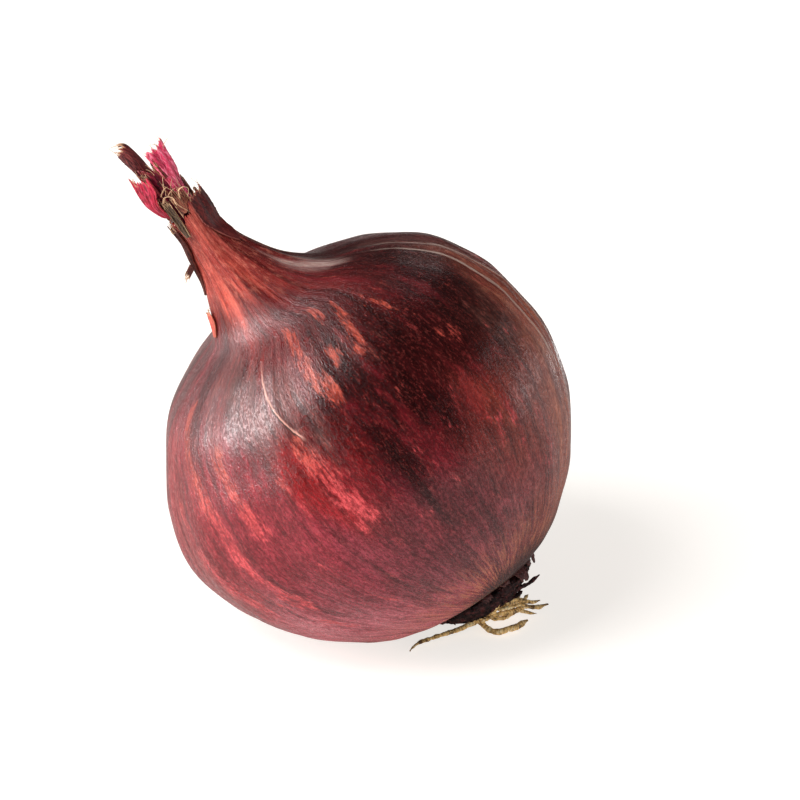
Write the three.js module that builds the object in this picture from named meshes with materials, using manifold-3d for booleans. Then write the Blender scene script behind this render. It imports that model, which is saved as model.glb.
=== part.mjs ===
// A whole red onion, lying tilted as it came to rest. The bulb, in its ribbed dry skin, is drawn up
// into a neck. Torn, dried leaves stand in the neck's open end and cling round it. At the other end a
// dark corky plate sits in the bulb's dimple and carries a tuft of dried roots.
//
// Millimetres, +Z up. The origin is on the surface that the onion rests on, at the middle of its flat
// resting spot. The neck leans towards -X. Everything but the roots is drawn upright first, in the
// bulb's own frame: its Z runs up the neck from the bulb's widest ring, and -Y is the front.

import * as THREE from "three";
import { mergeVertices } from "three/addons/utils/BufferGeometryUtils.js";
import Module from "manifold-3d";

const wasm = await Module();
wasm.setup();

// Driving dimensions.
const bulbRadius = 38;
const lean = THREE.MathUtils.degToRad(32.9); // the neck's tilt from upright
const flatDepth = 0.6; // how far the skin is pressed flat where the onion rests
const rootEnd = -36; // height of the bulb's lowest rim, round the root plate
const rootTilt = THREE.MathUtils.degToRad(11); // how far the root end faces to the front
const neckOpening = 53.5; // mean height of the torn edge of the outer skin
const troughFloor = 49.5; // bottom of the gap that the inner leaves stand in
const coreTop = 58; // top of the solid middle of the neck
const coreRadius = 1.2;
const skinThickness = 0.8;
const leafThickness = 0.65;
const gap = 0.35; // between neighbouring pieces
const rootEndHeight = 8; // height of the part of the bulb that the root end's tilt reaches
const bulbColumns = 84;
const bulbRows = 30;

// Small tools.

const degrees = THREE.MathUtils.degToRad;
const mix = THREE.MathUtils.lerp;
const ease = THREE.MathUtils.smoothstep; // (x, low, high)

// A seeded random stream from 0 to 1, so that every build is the same.
function randomStream(seed) {
  let state = seed;
  return () => {
    state = (state * 1664525 + 1013904223) % 4294967296;
    return state / 4294967296;
  };
}

// A smooth curve through [place, value] pairs that never overshoots them, read at any place.
function smoothThrough(pairs) {
  const last = pairs.length - 1;
  const slope = (i) => (pairs[i + 1][1] - pairs[i][1]) / (pairs[i + 1][0] - pairs[i][0]);
  const tangents = pairs.map((_, i) => {
    if (i === 0) return slope(0);
    if (i === last) return slope(last - 1);
    const before = slope(i - 1);
    const after = slope(i);
    return before * after > 0 ? (2 * before * after) / (before + after) : 0;
  });
  return (place) => {
    const at = Math.min(Math.max(place, pairs[0][0]), pairs[last][0]);
    let i = 0;
    while (i < last - 1 && at > pairs[i + 1][0]) i += 1;
    const span = pairs[i + 1][0] - pairs[i][0];
    const t = (at - pairs[i][0]) / span;
    const t2 = t * t;
    const t3 = t2 * t;
    return (
      (2 * t3 - 3 * t2 + 1) * pairs[i][1] +
      (t3 - 2 * t2 + t) * span * tangents[i] +
      (3 * t2 - 2 * t3) * pairs[i + 1][1] +
      (t3 - t2) * span * tangents[i + 1]
    );
  };
}

// A closed body from points and triangles, turned so that its faces point out.
function closedBody(points, triangles) {
  let volume = 0;
  for (const [a, b, c] of triangles) {
    volume += points[a].dot(new THREE.Vector3().crossVectors(points[b], points[c]));
  }
  const facing = volume > 0 ? triangles : triangles.map(([a, b, c]) => [a, c, b]);
  const geometry = new THREE.BufferGeometry().setFromPoints(points);
  geometry.setIndex(facing.flat());
  return geometry;
}

// A body skinned over rings of equal count, closed by a point at each end.
function ringBody(startPoint, rings, endPoint) {
  const count = rings[0].length;
  const points = [startPoint, ...rings.flat(), endPoint];
  const end = points.length - 1;
  const at = (ring, i) => 1 + ring * count + (i % count);
  const triangles = [];
  for (let i = 0; i < count; i += 1) {
    triangles.push([0, at(0, i + 1), at(0, i)]);
    for (let ring = 0; ring < rings.length - 1; ring += 1) {
      triangles.push([at(ring, i), at(ring, i + 1), at(ring + 1, i + 1)]);
      triangles.push([at(ring, i), at(ring + 1, i + 1), at(ring + 1, i)]);
    }
    triangles.push([end, at(rings.length - 1, i), at(rings.length - 1, i + 1)]);
  }
  return closedBody(points, triangles);
}

// A thin leaf of even thickness. surface(u, v) is its middle, with u from -1 to 1 across it and v from
// 0 at its foot to 1 at its tip. reach(u) is the torn end: the share of the length that u still has.
function blade(surface, reach, across, along, thickness = leafThickness) {
  const step = 1e-3;
  const faces = [[], []];
  for (let j = 0; j <= along; j += 1) {
    for (let i = 0; i <= across; i += 1) {
      const u = (2 * i) / across - 1;
      const v = (j / along) * reach(u);
      const sideways = surface(u + step, v).sub(surface(u - step, v));
      const upwards = surface(u, v + step).sub(surface(u, v - step));
      const normal = sideways.cross(upwards).normalize();
      faces[0].push(surface(u, v).addScaledVector(normal, thickness / 2));
      faces[1].push(surface(u, v).addScaledVector(normal, -thickness / 2));
    }
  }
  const columns = across + 1;
  const size = faces[0].length;
  const at = (face, i, j) => face * size + j * columns + i;
  const triangles = [];
  const wall = (i, j, k, l) => {
    triangles.push([at(0, i, j), at(1, k, l), at(1, i, j)]);
    triangles.push([at(0, i, j), at(0, k, l), at(1, k, l)]);
  };
  for (let j = 0; j < along; j += 1) {
    for (let i = 0; i < across; i += 1) {
      triangles.push([at(0, i, j), at(0, i + 1, j), at(0, i + 1, j + 1)]);
      triangles.push([at(0, i, j), at(0, i + 1, j + 1), at(0, i, j + 1)]);
      triangles.push([at(1, i, j), at(1, i + 1, j + 1), at(1, i + 1, j)]);
      triangles.push([at(1, i, j), at(1, i, j + 1), at(1, i + 1, j + 1)]);
    }
    wall(0, j, 0, j + 1);
    wall(across, j + 1, across, j);
  }
  for (let i = 0; i < across; i += 1) {
    wall(i + 1, 0, i, 0);
    wall(i, along, i + 1, along);
  }
  return closedBody([...faces[0], ...faces[1]], triangles);
}

// A torn edge: full length where the tear spared the leaf, less by up to depth in between.
function tornEdge(depth, teeth, phase) {
  return (u) => {
    const place = u * teeth * 0.5 + phase;
    const saw = Math.abs((place - Math.floor(place)) * 2 - 1);
    const sway = 0.5 + 0.5 * Math.sin(2.1 * u + 5 * phase);
    return 1 - depth * (0.62 * saw + 0.38 * sway);
  };
}

function solidOf(geometry) {
  const bare = geometry.clone();
  bare.deleteAttribute("normal");
  bare.deleteAttribute("uv");
  const merged = mergeVertices(bare, 1e-4);
  return new wasm.Manifold(
    new wasm.Mesh({
      numProp: 3,
      vertProperties: new Float32Array(merged.attributes.position.array),
      triVerts: new Uint32Array(merged.index.array),
    }),
  );
}

function geometryOf(solid) {
  const mesh = solid.getMesh();
  const geometry = new THREE.BufferGeometry();
  geometry.setAttribute("position", new THREE.BufferAttribute(mesh.vertProperties, 3));
  geometry.setIndex(new THREE.BufferAttribute(mesh.triVerts, 1));
  return geometry;
}

// The bulb and its neck.

// Radius by height, from the rim round the root plate to the neck's open end.
const outline = smoothThrough([
  [rootEnd, 10.6],
  [-35.2, 13.0],
  [-32, 18.9],
  [-27, 24.3],
  [-20, 30.8],
  [-10, 36.1],
  [0, bulbRadius],
  [10, 36.0],
  [17, 32.4],
  [22, 28.9],
  [27, 22.1],
  [30, 16.0],
  [32, 12.0],
  [34, 9.9],
  [37, 7.8],
  [40, 6.4],
  [44, 5.0],
  [48, 4.2],
  [neckOpening, 3.7],
]);

// How far the middle of each ring stands off the straight axis, along X: the shoulder is fuller on one
// side, the root plate sits off centre, and the neck bends.
const sidestep = smoothThrough([
  [-36, 1.5],
  [-32, 0.3],
  [-24, 0.3],
  [-16, 0.1],
  [-6, 0],
  [4, 0.4],
  [14, 1.4],
  [24, 2.3],
  [30, 3.5],
  [32, 1.5],
  [34, 0.6],
  [37, -0.3],
  [40, -0.9],
  [46, -1.7],
  [58, -1.8],
]);

// The skin's ribs run from root to neck. They are uneven, and fade out at both ends of the bulb.
function ribs(angle, height) {
  const wave =
    0.5 * Math.sin(17 * angle + 0.6 * Math.sin(3 * angle)) +
    0.3 * Math.sin(11 * angle + 2.0) +
    0.35 * Math.sin(6 * angle + 4.1);
  const strength = ease(height, -35, -24) * (1 - ease(height, 26, 34));
  return 0.36 * wave * strength;
}

// The skin gathers into pleats where it is drawn up into the neck.
function pleats(angle, height) {
  const wave = Math.sin(9 * angle + 0.05 * height) + 0.5 * Math.sin(14 * angle + 1.2);
  const strength = ease(height, 28, 38) * mix(1, 0.3, ease(height, 38, 52));
  return 0.27 * wave * strength;
}

// No onion is quite round across.
function outOfRound(angle) {
  return 1 + 0.006 * Math.cos(2 * angle + 0.9) + 0.004 * Math.cos(3 * angle + 2.2);
}

// The neck is hollowed where a sheath lies along its right and a strip along its left.
function hollows(angle, height) {
  const nearness = (middle, spread) => {
    const turn = Math.atan2(Math.sin(angle - degrees(middle)), Math.cos(angle - degrees(middle)));
    return 1 - ease(Math.abs(turn), degrees(0.5 * spread), degrees(1.3 * spread));
  };
  const right = nearness(-16, 46) * ease(height, 43, 49);
  const left = nearness(212, 30) * ease(height, 36, 42);
  const depth = 0.6 * (1 - ease(height, 48.5, neckOpening));
  return -depth * Math.max(right, left);
}

function skinRadius(angle, height) {
  const round = outline(height) * outOfRound(angle);
  return round + ribs(angle, height) + pleats(angle, height) + hollows(angle, height);
}

// A point at a distance from the middle line of the bulb or neck.
function roundMiddle(angle, height, radius) {
  const x = sidestep(height) + radius * Math.cos(angle);
  const y = radius * Math.sin(angle);
  const share = 1 - ease(height, rootEnd, rootEnd + rootEndHeight); // the root end is tilted to the front
  return new THREE.Vector3(x, y, height - share * y * Math.tan(rootTilt));
}

// The outer skin is torn off unevenly: high at the back right, low at the left.
function skinEdge(angle) {
  const sway = 1.2 * Math.cos(angle - degrees(20));
  const teeth = 0.7 * Math.sin(5 * angle + 1) + 0.5 * Math.sin(11 * angle);
  return neckOpening + sway + teeth;
}

// Heights that are evenly spaced along the outline's length, from its foot to its top.
function evenHeights(count) {
  const fine = 600;
  const heights = Array.from({ length: fine + 1 }, (_, i) => mix(rootEnd, neckOpening, i / fine));
  const lengths = [0];
  for (let i = 1; i <= fine; i += 1) {
    const rise = heights[i] - heights[i - 1];
    const run = outline(heights[i]) - outline(heights[i - 1]);
    const closer = 1 + 1.1 * ease(heights[i], 24, 36); // the neck gets closer rings
    lengths.push(lengths[i - 1] + closer * Math.hypot(rise, run));
  }
  return Array.from({ length: count + 1 }, (_, k) => {
    const wanted = (lengths[fine] * k) / count;
    return heights[lengths.findIndex((length) => length >= wanted - 1e-9)];
  });
}

function bulbGeometry() {
  const angles = Array.from({ length: bulbColumns }, (_, i) => (2 * Math.PI * i) / bulbColumns);
  const ring = (pointAt) => angles.map(pointAt);
  const dimpleDepth = 1.1;
  const stretchFrom = 44; // above this the rings spread to follow the torn edge
  const rings = [ring((a) => roundMiddle(a, rootEnd + dimpleDepth, 9.7))];
  for (const height of evenHeights(bulbRows)) {
    rings.push(
      ring((a) => {
        const share = Math.max(0, (height - stretchFrom) / (neckOpening - stretchFrom));
        const at = height + share * (skinEdge(a) - neckOpening);
        return roundMiddle(a, at, skinRadius(a, height));
      }),
    );
  }
  const inside = (a) => skinRadius(a, neckOpening) - skinThickness;
  rings.push(ring((a) => roundMiddle(a, skinEdge(a), inside(a))));
  rings.push(ring((a) => roundMiddle(a, troughFloor, inside(a))));
  rings.push(ring((a) => roundMiddle(a, troughFloor, coreRadius)));
  rings.push(ring((a) => roundMiddle(a, coreTop - 0.4, 0.9 * coreRadius)));
  const foot = roundMiddle(0, rootEnd + dimpleDepth, 0);
  const top = roundMiddle(0, coreTop, 0);
  return ringBody(foot, rings, top);
}

// Where the upright onion comes to lie once it is turned about Y: lifted until only its lowest cap is
// under the surface, with that cap's middle at the origin.
function restingPlace(geometry) {
  const turn = new THREE.Matrix4().makeRotationY(-lean);
  const point = new THREE.Vector3();
  const lowest = new THREE.Vector3(0, 0, Infinity);
  const position = geometry.getAttribute("position");
  for (let i = 0; i < position.count; i += 1) {
    point.fromBufferAttribute(position, i).applyMatrix4(turn);
    if (point.z < lowest.z) lowest.copy(point);
  }
  return new THREE.Vector3(-lowest.x, -lowest.y, -lowest.z - flatDepth);
}

const uprightBulb = bulbGeometry();
const laidDown = new THREE.Group();
laidDown.rotation.y = -lean;
laidDown.position.copy(restingPlace(uprightBulb));
laidDown.updateMatrix();
const toSurface = laidDown.matrix.clone(); // from the bulb's own frame to the resting frame
const fromSurface = toSurface.clone().invert();

function pressFlat(geometry) {
  const depth = 20;
  const below = new THREE.BoxGeometry(200, 200, depth);
  below.translate(0, 0, -depth / 2);
  below.applyMatrix4(fromSurface);
  return geometryOf(solidOf(geometry).subtract(solidOf(below)));
}

// The leaves of the neck.

// Leaves that grow inside the neck stand in the trough between its outer skin and its core.
const troughRadius = (coreRadius + outline(neckOpening) - skinThickness) / 2;
const leafFoot = troughFloor + gap;

// A leaf that follows the neck round. middle and spread are angles. radius and spread are read at v,
// from the foot at 0 to the tip at 1, and crease bends the leaf in and out across it.
function wrappingLeaf({ middle, spread, from, to, radius, crease = () => 0 }) {
  return (u, v) => {
    const angle = degrees(middle + u * spread(v));
    const height = mix(from, to, v);
    return roundMiddle(angle, height, radius(v, angle, height) + (1 - u * u) * crease(u, v));
  };
}

// It leaves the trough at the lower left and bulges out past the skin's torn edge.
function magentaLeaf() {
  const surface = wrappingLeaf({
    middle: 209,
    spread: smoothThrough([[0, 18], [0.3, 21], [0.6, 27], [1, 21]]),
    from: leafFoot,
    to: 64.4,
    radius: smoothThrough([[0, troughRadius], [0.2, troughRadius + 0.1], [0.38, 4.0], [0.6, 5.2], [1, 4.9]]),
    crease: (u, v) => 0.22 * v * Math.cos(3 * Math.PI * u),
  });
  return blade(surface, tornEdge(0.14, 5, 0.1), 8, 12);
}

function maroonLeaf() {
  const surface = wrappingLeaf({
    middle: -99,
    spread: smoothThrough([[0, 25], [0.5, 27], [1, 27]]),
    from: leafFoot,
    to: 65.2,
    radius: smoothThrough([[0, troughRadius], [0.4, troughRadius + 0.1], [1, 2.8]]),
    crease: (u, v) => 0.16 * Math.sin(8 * u + 2) * ease(v, 0.3, 0.8),
  });
  return blade(surface, tornEdge(0.28, 5, 0.45), 10, 10);
}

function pinkLeaf() {
  const surface = wrappingLeaf({
    middle: -36,
    spread: smoothThrough([[0, 27], [0.5, 31], [1, 31]]),
    from: leafFoot,
    to: 67.4,
    radius: smoothThrough([[0, troughRadius], [0.4, troughRadius + 0.2], [0.7, 3.2], [1, 3.7]]),
    crease: (u, v) => 0.2 * Math.cos(3.5 * Math.PI * u) * ease(v, 0.3, 0.8),
  });
  return blade(surface, tornEdge(0.12, 4, 0.7), 8, 12);
}

function rustLeaf() {
  const surface = wrappingLeaf({
    middle: 80,
    spread: smoothThrough([[0, 46], [0.5, 46], [1, 36]]),
    from: leafFoot,
    to: 63.5,
    radius: smoothThrough([[0, troughRadius], [0.4, troughRadius + 0.1], [1, 3.3]]),
    crease: (u, v) => 0.18 * Math.cos(3 * Math.PI * u) * ease(v, 0.3, 0.8),
  });
  return blade(surface, tornEdge(0.22, 5, 0.3), 9, 9);
}

// The innermost leaf is rolled up. It stands on the core, leans out to the left and curls over.
function brownLeaf() {
  const spineX = smoothThrough([[0, -2.5], [0.25, -3.9], [0.6, -4.4], [0.85, -4.9], [1, -5.9]]);
  const spineY = smoothThrough([[0, 0.1], [0.5, 0.4], [1, 0.2]]);
  const spineZ = smoothThrough([[0, coreTop + gap], [0.25, 61], [0.6, 65.2], [0.85, 68.2], [1, 68.9]]);
  const roll = smoothThrough([[0, 1.1], [0.5, 1.15], [0.8, 1.2], [1, 0.9]]);
  const spine = (v) => new THREE.Vector3(spineX(v), spineY(v), spineZ(v));
  const depthwards = new THREE.Vector3(0, 1, 0);
  const rollMiddle = -70; // the roll's open side is away from the front
  const rollSpread = 150;
  const surface = (u, v) => {
    const along = spine(v + 0.02).sub(spine(v - 0.02)).normalize();
    const sideways = new THREE.Vector3().crossVectors(depthwards, along).normalize();
    const angle = degrees(rollMiddle + u * rollSpread);
    return spine(v)
      .addScaledVector(sideways, roll(v) * Math.cos(angle))
      .addScaledVector(depthwards, 0.9 * roll(v) * Math.sin(angle));
  };
  return blade(surface, tornEdge(0.1, 7, 0.2), 12, 11, 0.6);
}

// Outer leaves cling to the outside of the neck's skin.
function clingingLeaf(options) {
  const { lift = () => 0 } = options;
  const half = leafThickness / 2;
  return wrappingLeaf({
    ...options,
    radius: (v, angle, height) => skinRadius(angle, Math.min(height, neckOpening)) + gap + half + lift(v),
  });
}

function rightSheath() {
  const surface = clingingLeaf({
    middle: -16,
    spread: smoothThrough([[0, 8], [0.3, 38], [0.6, 46], [1, 30]]),
    from: 45.5,
    to: 59,
    lift: smoothThrough([[0, 0.15], [0.6, 0.05], [1, 0.1]]),
    crease: (u, v) => 0.1 * Math.cos(9 * u) * v,
  });
  return blade(surface, tornEdge(0.22, 5, 0.6), 12, 10);
}

function backSheath() {
  const surface = clingingLeaf({
    middle: 112,
    spread: smoothThrough([[0, 14], [0.4, 44], [1, 50]]),
    from: 41,
    to: 59,
    lift: smoothThrough([[0, 0], [0.6, 0.15], [1, 0.4]]),
    crease: (u, v) => 0.14 * Math.cos(8 * u + 1) * v,
  });
  return blade(surface, tornEdge(0.24, 6, 0.2), 10, 9);
}

// A narrow strip down the left side, with a scrap of it that sticks out.
function leftStrip() {
  const surface = clingingLeaf({
    middle: 218,
    spread: smoothThrough([[0, 5], [0.3, 14], [1, 18]]),
    from: 39,
    to: 53,
    lift: smoothThrough([[0, 0.05], [0.5, 0.15], [1, 0]]),
    crease: (u, v) => 0.25 * u * u * v,
  });
  const strip = blade(surface, tornEdge(0.1, 4, 0.4), 6, 10);
  const scrapFoot = 5.6;
  const scrapTip = 7.2;
  const scrap = (u, v) =>
    roundMiddle(degrees(209 - 8 * v), 44.6 + 0.7 * u - 1.2 * v, mix(scrapFoot, scrapTip, v));
  return geometryOf(solidOf(strip).add(solidOf(blade(scrap, () => 1, 2, 3))));
}

function tanScrap() {
  const surface = clingingLeaf({
    middle: 250,
    spread: smoothThrough([[0, 6], [0.5, 11], [1, 12]]),
    from: 50,
    to: 57.8,
  });
  return blade(surface, tornEdge(0.2, 4, 0.9), 6, 8);
}

// Shreds of an inner leaf stand on the skin's torn edge at the front.
function tanCollar() {
  const collarRadius = 3.45;
  const surface = (u, v) => {
    const angle = degrees(-71 + u * 24);
    const height = mix(skinEdge(angle) + gap + 0.2, 60.6, v);
    return roundMiddle(angle, height, collarRadius + 0.25 * v + 0.12 * Math.cos(7 * u) * v);
  };
  return blade(surface, tornEdge(0.6, 5, 0.15), 10, 6);
}

function salmonFlap() {
  const surface = clingingLeaf({
    middle: 210,
    spread: smoothThrough([[0, 4], [0.5, 8], [1, 4]]),
    from: 32.2,
    to: 36.8,
    lift: smoothThrough([[0, 0.1], [1, 0.5]]),
  });
  return blade(surface, tornEdge(0.2, 3, 0.5), 4, 6);
}

// The root plate and the roots.

const plateTop = 1.1 - gap; // heights on the plate are from the bulb's rim, along its own axis
const plateFace = -4.4;
const plateMiddle = new THREE.Vector3(sidestep(rootEnd), 0, rootEnd);
const acrossPlate = new THREE.Vector3(1, 0, 0);

// A point by its angle round the plate's own tilted axis, its distance from it and its height.
function onPlate(angle, distance, height) {
  const x = distance * Math.cos(degrees(angle));
  const y = distance * Math.sin(degrees(angle));
  return new THREE.Vector3(x, y, height).applyAxisAngle(acrossPlate, -rootTilt).add(plateMiddle);
}

// A root is a tapering, knobbly, crooked thread through the given points.
function rootBody(points, thickAtFoot, thickAtTip, seed) {
  const random = randomStream(seed);
  const sides = 6;
  const curve = new THREE.CatmullRomCurve3(points, false, "centripetal");
  const steps = Math.max(5, Math.round(curve.getLength() / 1.4));
  const frames = curve.computeFrenetFrames(steps, false);
  const rings = [];
  for (let k = 0; k <= steps; k += 1) {
    const thick = mix(thickAtFoot, thickAtTip, k / steps) * mix(0.85, 1.15, random());
    const middle = curve.getPointAt(k / steps);
    rings.push(
      Array.from({ length: sides }, (_, i) => {
        const angle = (2 * Math.PI * i) / sides;
        return middle
          .clone()
          .addScaledVector(frames.normals[k], (thick / 2) * Math.cos(angle))
          .addScaledVector(frames.binormals[k], (thick / 2) * Math.sin(angle));
      }),
    );
  }
  const tip = points[points.length - 1].clone();
  tip.addScaledVector(frames.tangents[steps], thickAtTip / 2);
  return ringBody(points[0].clone(), rings, tip);
}

// The plate is a low, crusty cone with its upper edge in the bulb's dimple.
function crustedPlate() {
  const columns = 44;
  const ring = (radius, height, rough) =>
    Array.from({ length: columns }, (_, i) => {
      const a = (2 * Math.PI * i) / columns;
      const ragged =
        0.35 * Math.sin(7 * a + height) +
        0.3 * Math.sin(12 * a + 2 * height) +
        0.25 * Math.sin(17 * a + 3 * height);
      return onPlate((360 * i) / columns, radius + rough * ragged, height - 0.4 * rough * ragged);
    });
  const rings = [
    ring(9.1, plateTop, 0),
    ring(9.2, -0.1, 0.1),
    ring(10.2, -gap - 0.35, 0.5),
    ring(10.0, -1.2, 0.7),
    ring(8.5, -2.3, 0.7),
    ring(6.7, -3.5, 0.6),
    ring(5.0, plateFace, 0.4),
  ];
  return ringBody(onPlate(0, 0, plateTop), rings, onPlate(0, 0, plateFace));
}

// Dark roots and flakes are as dark as the plate, and grow out of it.
function rootPlate() {
  const darkRoots = [
    { foot: [-32, 5.2, -2.4], run: [[-22, 8.4, -3.3], [-6, 10.8, -3.2]], thick: 1.05 },
    { foot: [-40, 4.6, -2.8], run: [[-30, 6.6, -3.8], [-16, 7.6, -4.2]], thick: 0.9 },
    { foot: [30, 6.0, -2.4], run: [[34, 9.0, -3.2], [44, 11.8, -2.6]], thick: 1.0 },
    { foot: [120, 6.0, -2.4], run: [[124, 9.0, -3.0], [112, 11.4, -2.0]], thick: 0.9 },
  ];
  let solid = solidOf(crustedPlate());
  darkRoots.forEach(({ foot, run, thick }, i) => {
    const points = [foot, ...run].map((place) => onPlate(...place));
    solid = solid.add(solidOf(rootBody(points, thick, 0.75 * thick, 40 + i)));
  });
  const flakes = [
    { angle: -24, from: [5.6, -3.4], to: [10.6, -0.9], width: 10 },
    { angle: -4, from: [8.6, -1.3], to: [11.9, -1.5], width: 9 },
    { angle: 14, from: [8.8, -1.2], to: [12.2, -1.0], width: 8 },
    { angle: 52, from: [8.8, -1.3], to: [11.6, -1.6], width: 11 },
    { angle: 98, from: [8.8, -1.2], to: [11.4, -1.4], width: 8 },
    { angle: -76, from: [8.6, -1.3], to: [10.9, -2.2], width: 9 },
    { angle: -128, from: [8.6, -1.4], to: [10.8, -2.2], width: 8 },
  ];
  flakes.forEach(({ angle, from, to, width }, i) => {
    const surface = (u, v) =>
      onPlate(angle + u * width * (1 - 0.4 * v), mix(from[0], to[0], v), mix(from[1], to[1], v));
    solid = solid.add(solidOf(blade(surface, tornEdge(0.3, 3, 0.13 * i), 3, 3, 0.7)));
  });
  return geometryOf(solid);
}

// The pale roots grow from a low crown under the plate, drawn in the resting frame.
function rootCrown() {
  const columns = 20;
  const top = plateFace - gap - 0.1;
  const place = (angle, distance, height) => {
    const point = onPlate(angle, distance, height).applyMatrix4(toSurface);
    point.z = Math.max(point.z, 0.3);
    return point;
  };
  const ring = (radius, height) =>
    Array.from({ length: columns }, (_, i) => {
      const angle = (360 * i) / columns;
      const reach = radius + 0.35 * Math.sin(degrees(5 * angle)) + 0.25 * Math.sin(degrees(7 * angle + 40));
      return place(angle, reach, height);
    });
  const rings = [ring(4.2, top), ring(4.6, top - 0.5), ring(3.0, top - 1.0)];
  return ringBody(place(0, 0, top), rings, place(0, 0, top - 1.1));
}

// The roots that show. foot is the angle and distance on the crown, and run is in the resting frame,
// from the bulb's middle as seen from above.
const shownRoots = [
  {
    foot: [-135, 3.8],
    run: [[18.8, -6.2, 1.4], [15.0, -7.8, 1.2], [12.0, -9.3, 1.0], [9.8, -10.8, 0.8], [8.3, -12.2, 0.7]],
    thick: 1.15,
  },
  {
    foot: [-100, 3.8],
    run: [[22.4, -6.2, 1.9], [23.6, -6.8, 0.9], [26.0, -4.6, 0.8], [29.1, -1.2, 0.9]],
    thick: 1.15,
  },
  { foot: [-20, 3.4], run: [[27.9, -1.4, 4.1], [29.8, 0.6, 3.8], [31.5, 2.4, 3.5]], thick: 1.2 },
  { foot: [-42, 3.6], run: [[27.0, -2.9, 3.2], [29.6, 0.4, 2.4], [32.9, 3.4, 2.4]], thick: 1.15 },
  { foot: [-62, 3.6], run: [[26.2, -4.4, 3.1], [27.8, -2.6, 3.0], [29.2, -1.0, 3.8]], thick: 1.0 },
  { foot: [-90, 3.8], run: [[22.6, -7.4, 3.7], [23.0, -9.2, 5.6], [24.3, -9.9, 7.6]], thick: 1.1 },
  { foot: [-118, 3.8], run: [[20.5, -7.4, 2.4], [21.0, -9.2, 3.8], [22.4, -9.7, 5.2]], thick: 1.0 },
];

function rootsGeometry() {
  const bulbMiddle = new THREE.Vector3(laidDown.position.x, laidDown.position.y, 0);
  const footHeight = plateFace - gap - 0.65;
  let solid = solidOf(rootCrown());
  const grow = (points, thick, seed) => {
    for (const point of points) point.z = Math.max(point.z, 0.62 * thick);
    solid = solid.add(solidOf(rootBody(points, thick, 0.6 * thick, seed)));
  };
  shownRoots.forEach(({ foot, run, thick }, i) => {
    const start = onPlate(...foot, footHeight).applyMatrix4(toSurface);
    const places = run.map((place) => new THREE.Vector3(...place).add(bulbMiddle));
    grow([start, ...places], thick, 7 + i);
  });
  // The rest are short and fan out under the far side, where the plate stands off the surface.
  const random = randomStream(11);
  const hiddenRoots = 9;
  for (let k = 0; k < hiddenRoots; k += 1) {
    const angle = mix(2, 118, k / (hiddenRoots - 1)) + mix(-5, 5, random());
    const distance = mix(2.4, 3.4, random());
    const length = mix(4.5, 8.5, random());
    const start = onPlate(angle, distance, footHeight).applyMatrix4(toSurface);
    const bend = onPlate(angle + 6, distance + 0.5 * length, footHeight - 0.5).applyMatrix4(toSurface);
    const tip = onPlate(angle, distance + length, footHeight - 1.5).applyMatrix4(toSurface);
    tip.z *= mix(0.4, 0.9, random());
    grow([start, bend, tip], mix(0.85, 1.15, random()), 60 + k);
  }
  return geometryOf(solid);
}

// Materials, by the colour of each piece.

const finish = (colour, roughness) =>
  new THREE.MeshStandardMaterial({ color: colour, roughness, metalness: 0 });
const finishes = {
  skin: finish(0x6b1620, 0.32),
  magenta: finish(0x9c1436, 0.5),
  maroon: finish(0x4a0d18, 0.6),
  pink: finish(0xc8415f, 0.5),
  rust: finish(0x7a2a20, 0.6),
  brown: finish(0x4a2620, 0.7),
  tan: finish(0x8f7350, 0.7),
  salmon: finish(0xc05a46, 0.5),
  crust: finish(0x241012, 0.85),
  root: finish(0xa98a4e, 0.75),
};

const onion = new THREE.Group();
onion.add(laidDown);

function addPiece(parent, name, geometry, material) {
  const mesh = new THREE.Mesh(geometry, material);
  mesh.name = name;
  parent.add(mesh);
}

addPiece(laidDown, "bulb", pressFlat(uprightBulb), finishes.skin);
addPiece(laidDown, "leaf_magenta", magentaLeaf(), finishes.magenta);
addPiece(laidDown, "leaf_maroon", maroonLeaf(), finishes.maroon);
addPiece(laidDown, "leaf_pink", pinkLeaf(), finishes.pink);
addPiece(laidDown, "leaf_rust", rustLeaf(), finishes.rust);
addPiece(laidDown, "leaf_brown", brownLeaf(), finishes.brown);
addPiece(laidDown, "sheath_right", rightSheath(), finishes.maroon);
addPiece(laidDown, "sheath_back", backSheath(), finishes.rust);
addPiece(laidDown, "strip_left", leftStrip(), finishes.brown);
addPiece(laidDown, "scrap_tan", tanScrap(), finishes.tan);
addPiece(laidDown, "collar_tan", tanCollar(), finishes.tan);
addPiece(laidDown, "flap_salmon", salmonFlap(), finishes.salmon);
addPiece(laidDown, "root_plate", rootPlate(), finishes.crust);
addPiece(onion, "roots", rootsGeometry(), finishes.root);

export default onion;
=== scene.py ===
import math
import random
import bpy
import numpy as np
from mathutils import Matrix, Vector


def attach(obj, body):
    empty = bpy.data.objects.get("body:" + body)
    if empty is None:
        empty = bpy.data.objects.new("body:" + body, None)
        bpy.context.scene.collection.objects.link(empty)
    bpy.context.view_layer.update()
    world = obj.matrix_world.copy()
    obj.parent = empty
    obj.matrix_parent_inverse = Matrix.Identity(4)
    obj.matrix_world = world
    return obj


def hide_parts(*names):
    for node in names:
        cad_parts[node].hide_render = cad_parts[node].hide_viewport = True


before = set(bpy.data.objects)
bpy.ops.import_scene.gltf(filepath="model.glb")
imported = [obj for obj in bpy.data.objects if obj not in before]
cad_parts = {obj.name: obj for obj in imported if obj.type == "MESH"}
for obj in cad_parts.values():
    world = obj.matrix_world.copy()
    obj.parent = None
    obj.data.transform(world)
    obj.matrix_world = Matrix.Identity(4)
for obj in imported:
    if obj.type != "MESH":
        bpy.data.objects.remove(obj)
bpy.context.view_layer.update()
print("frame loaded:", len(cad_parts), "nodes")

# The shapes are drawn in millimetres in the onion's own upright frame, as in the part's source,
# and laid down in metres. Angles go round the axis, and -90 degrees is the front.
layDown = dict(lean=32.9, middle=(-1.182, -2.930, 36.461))


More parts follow.
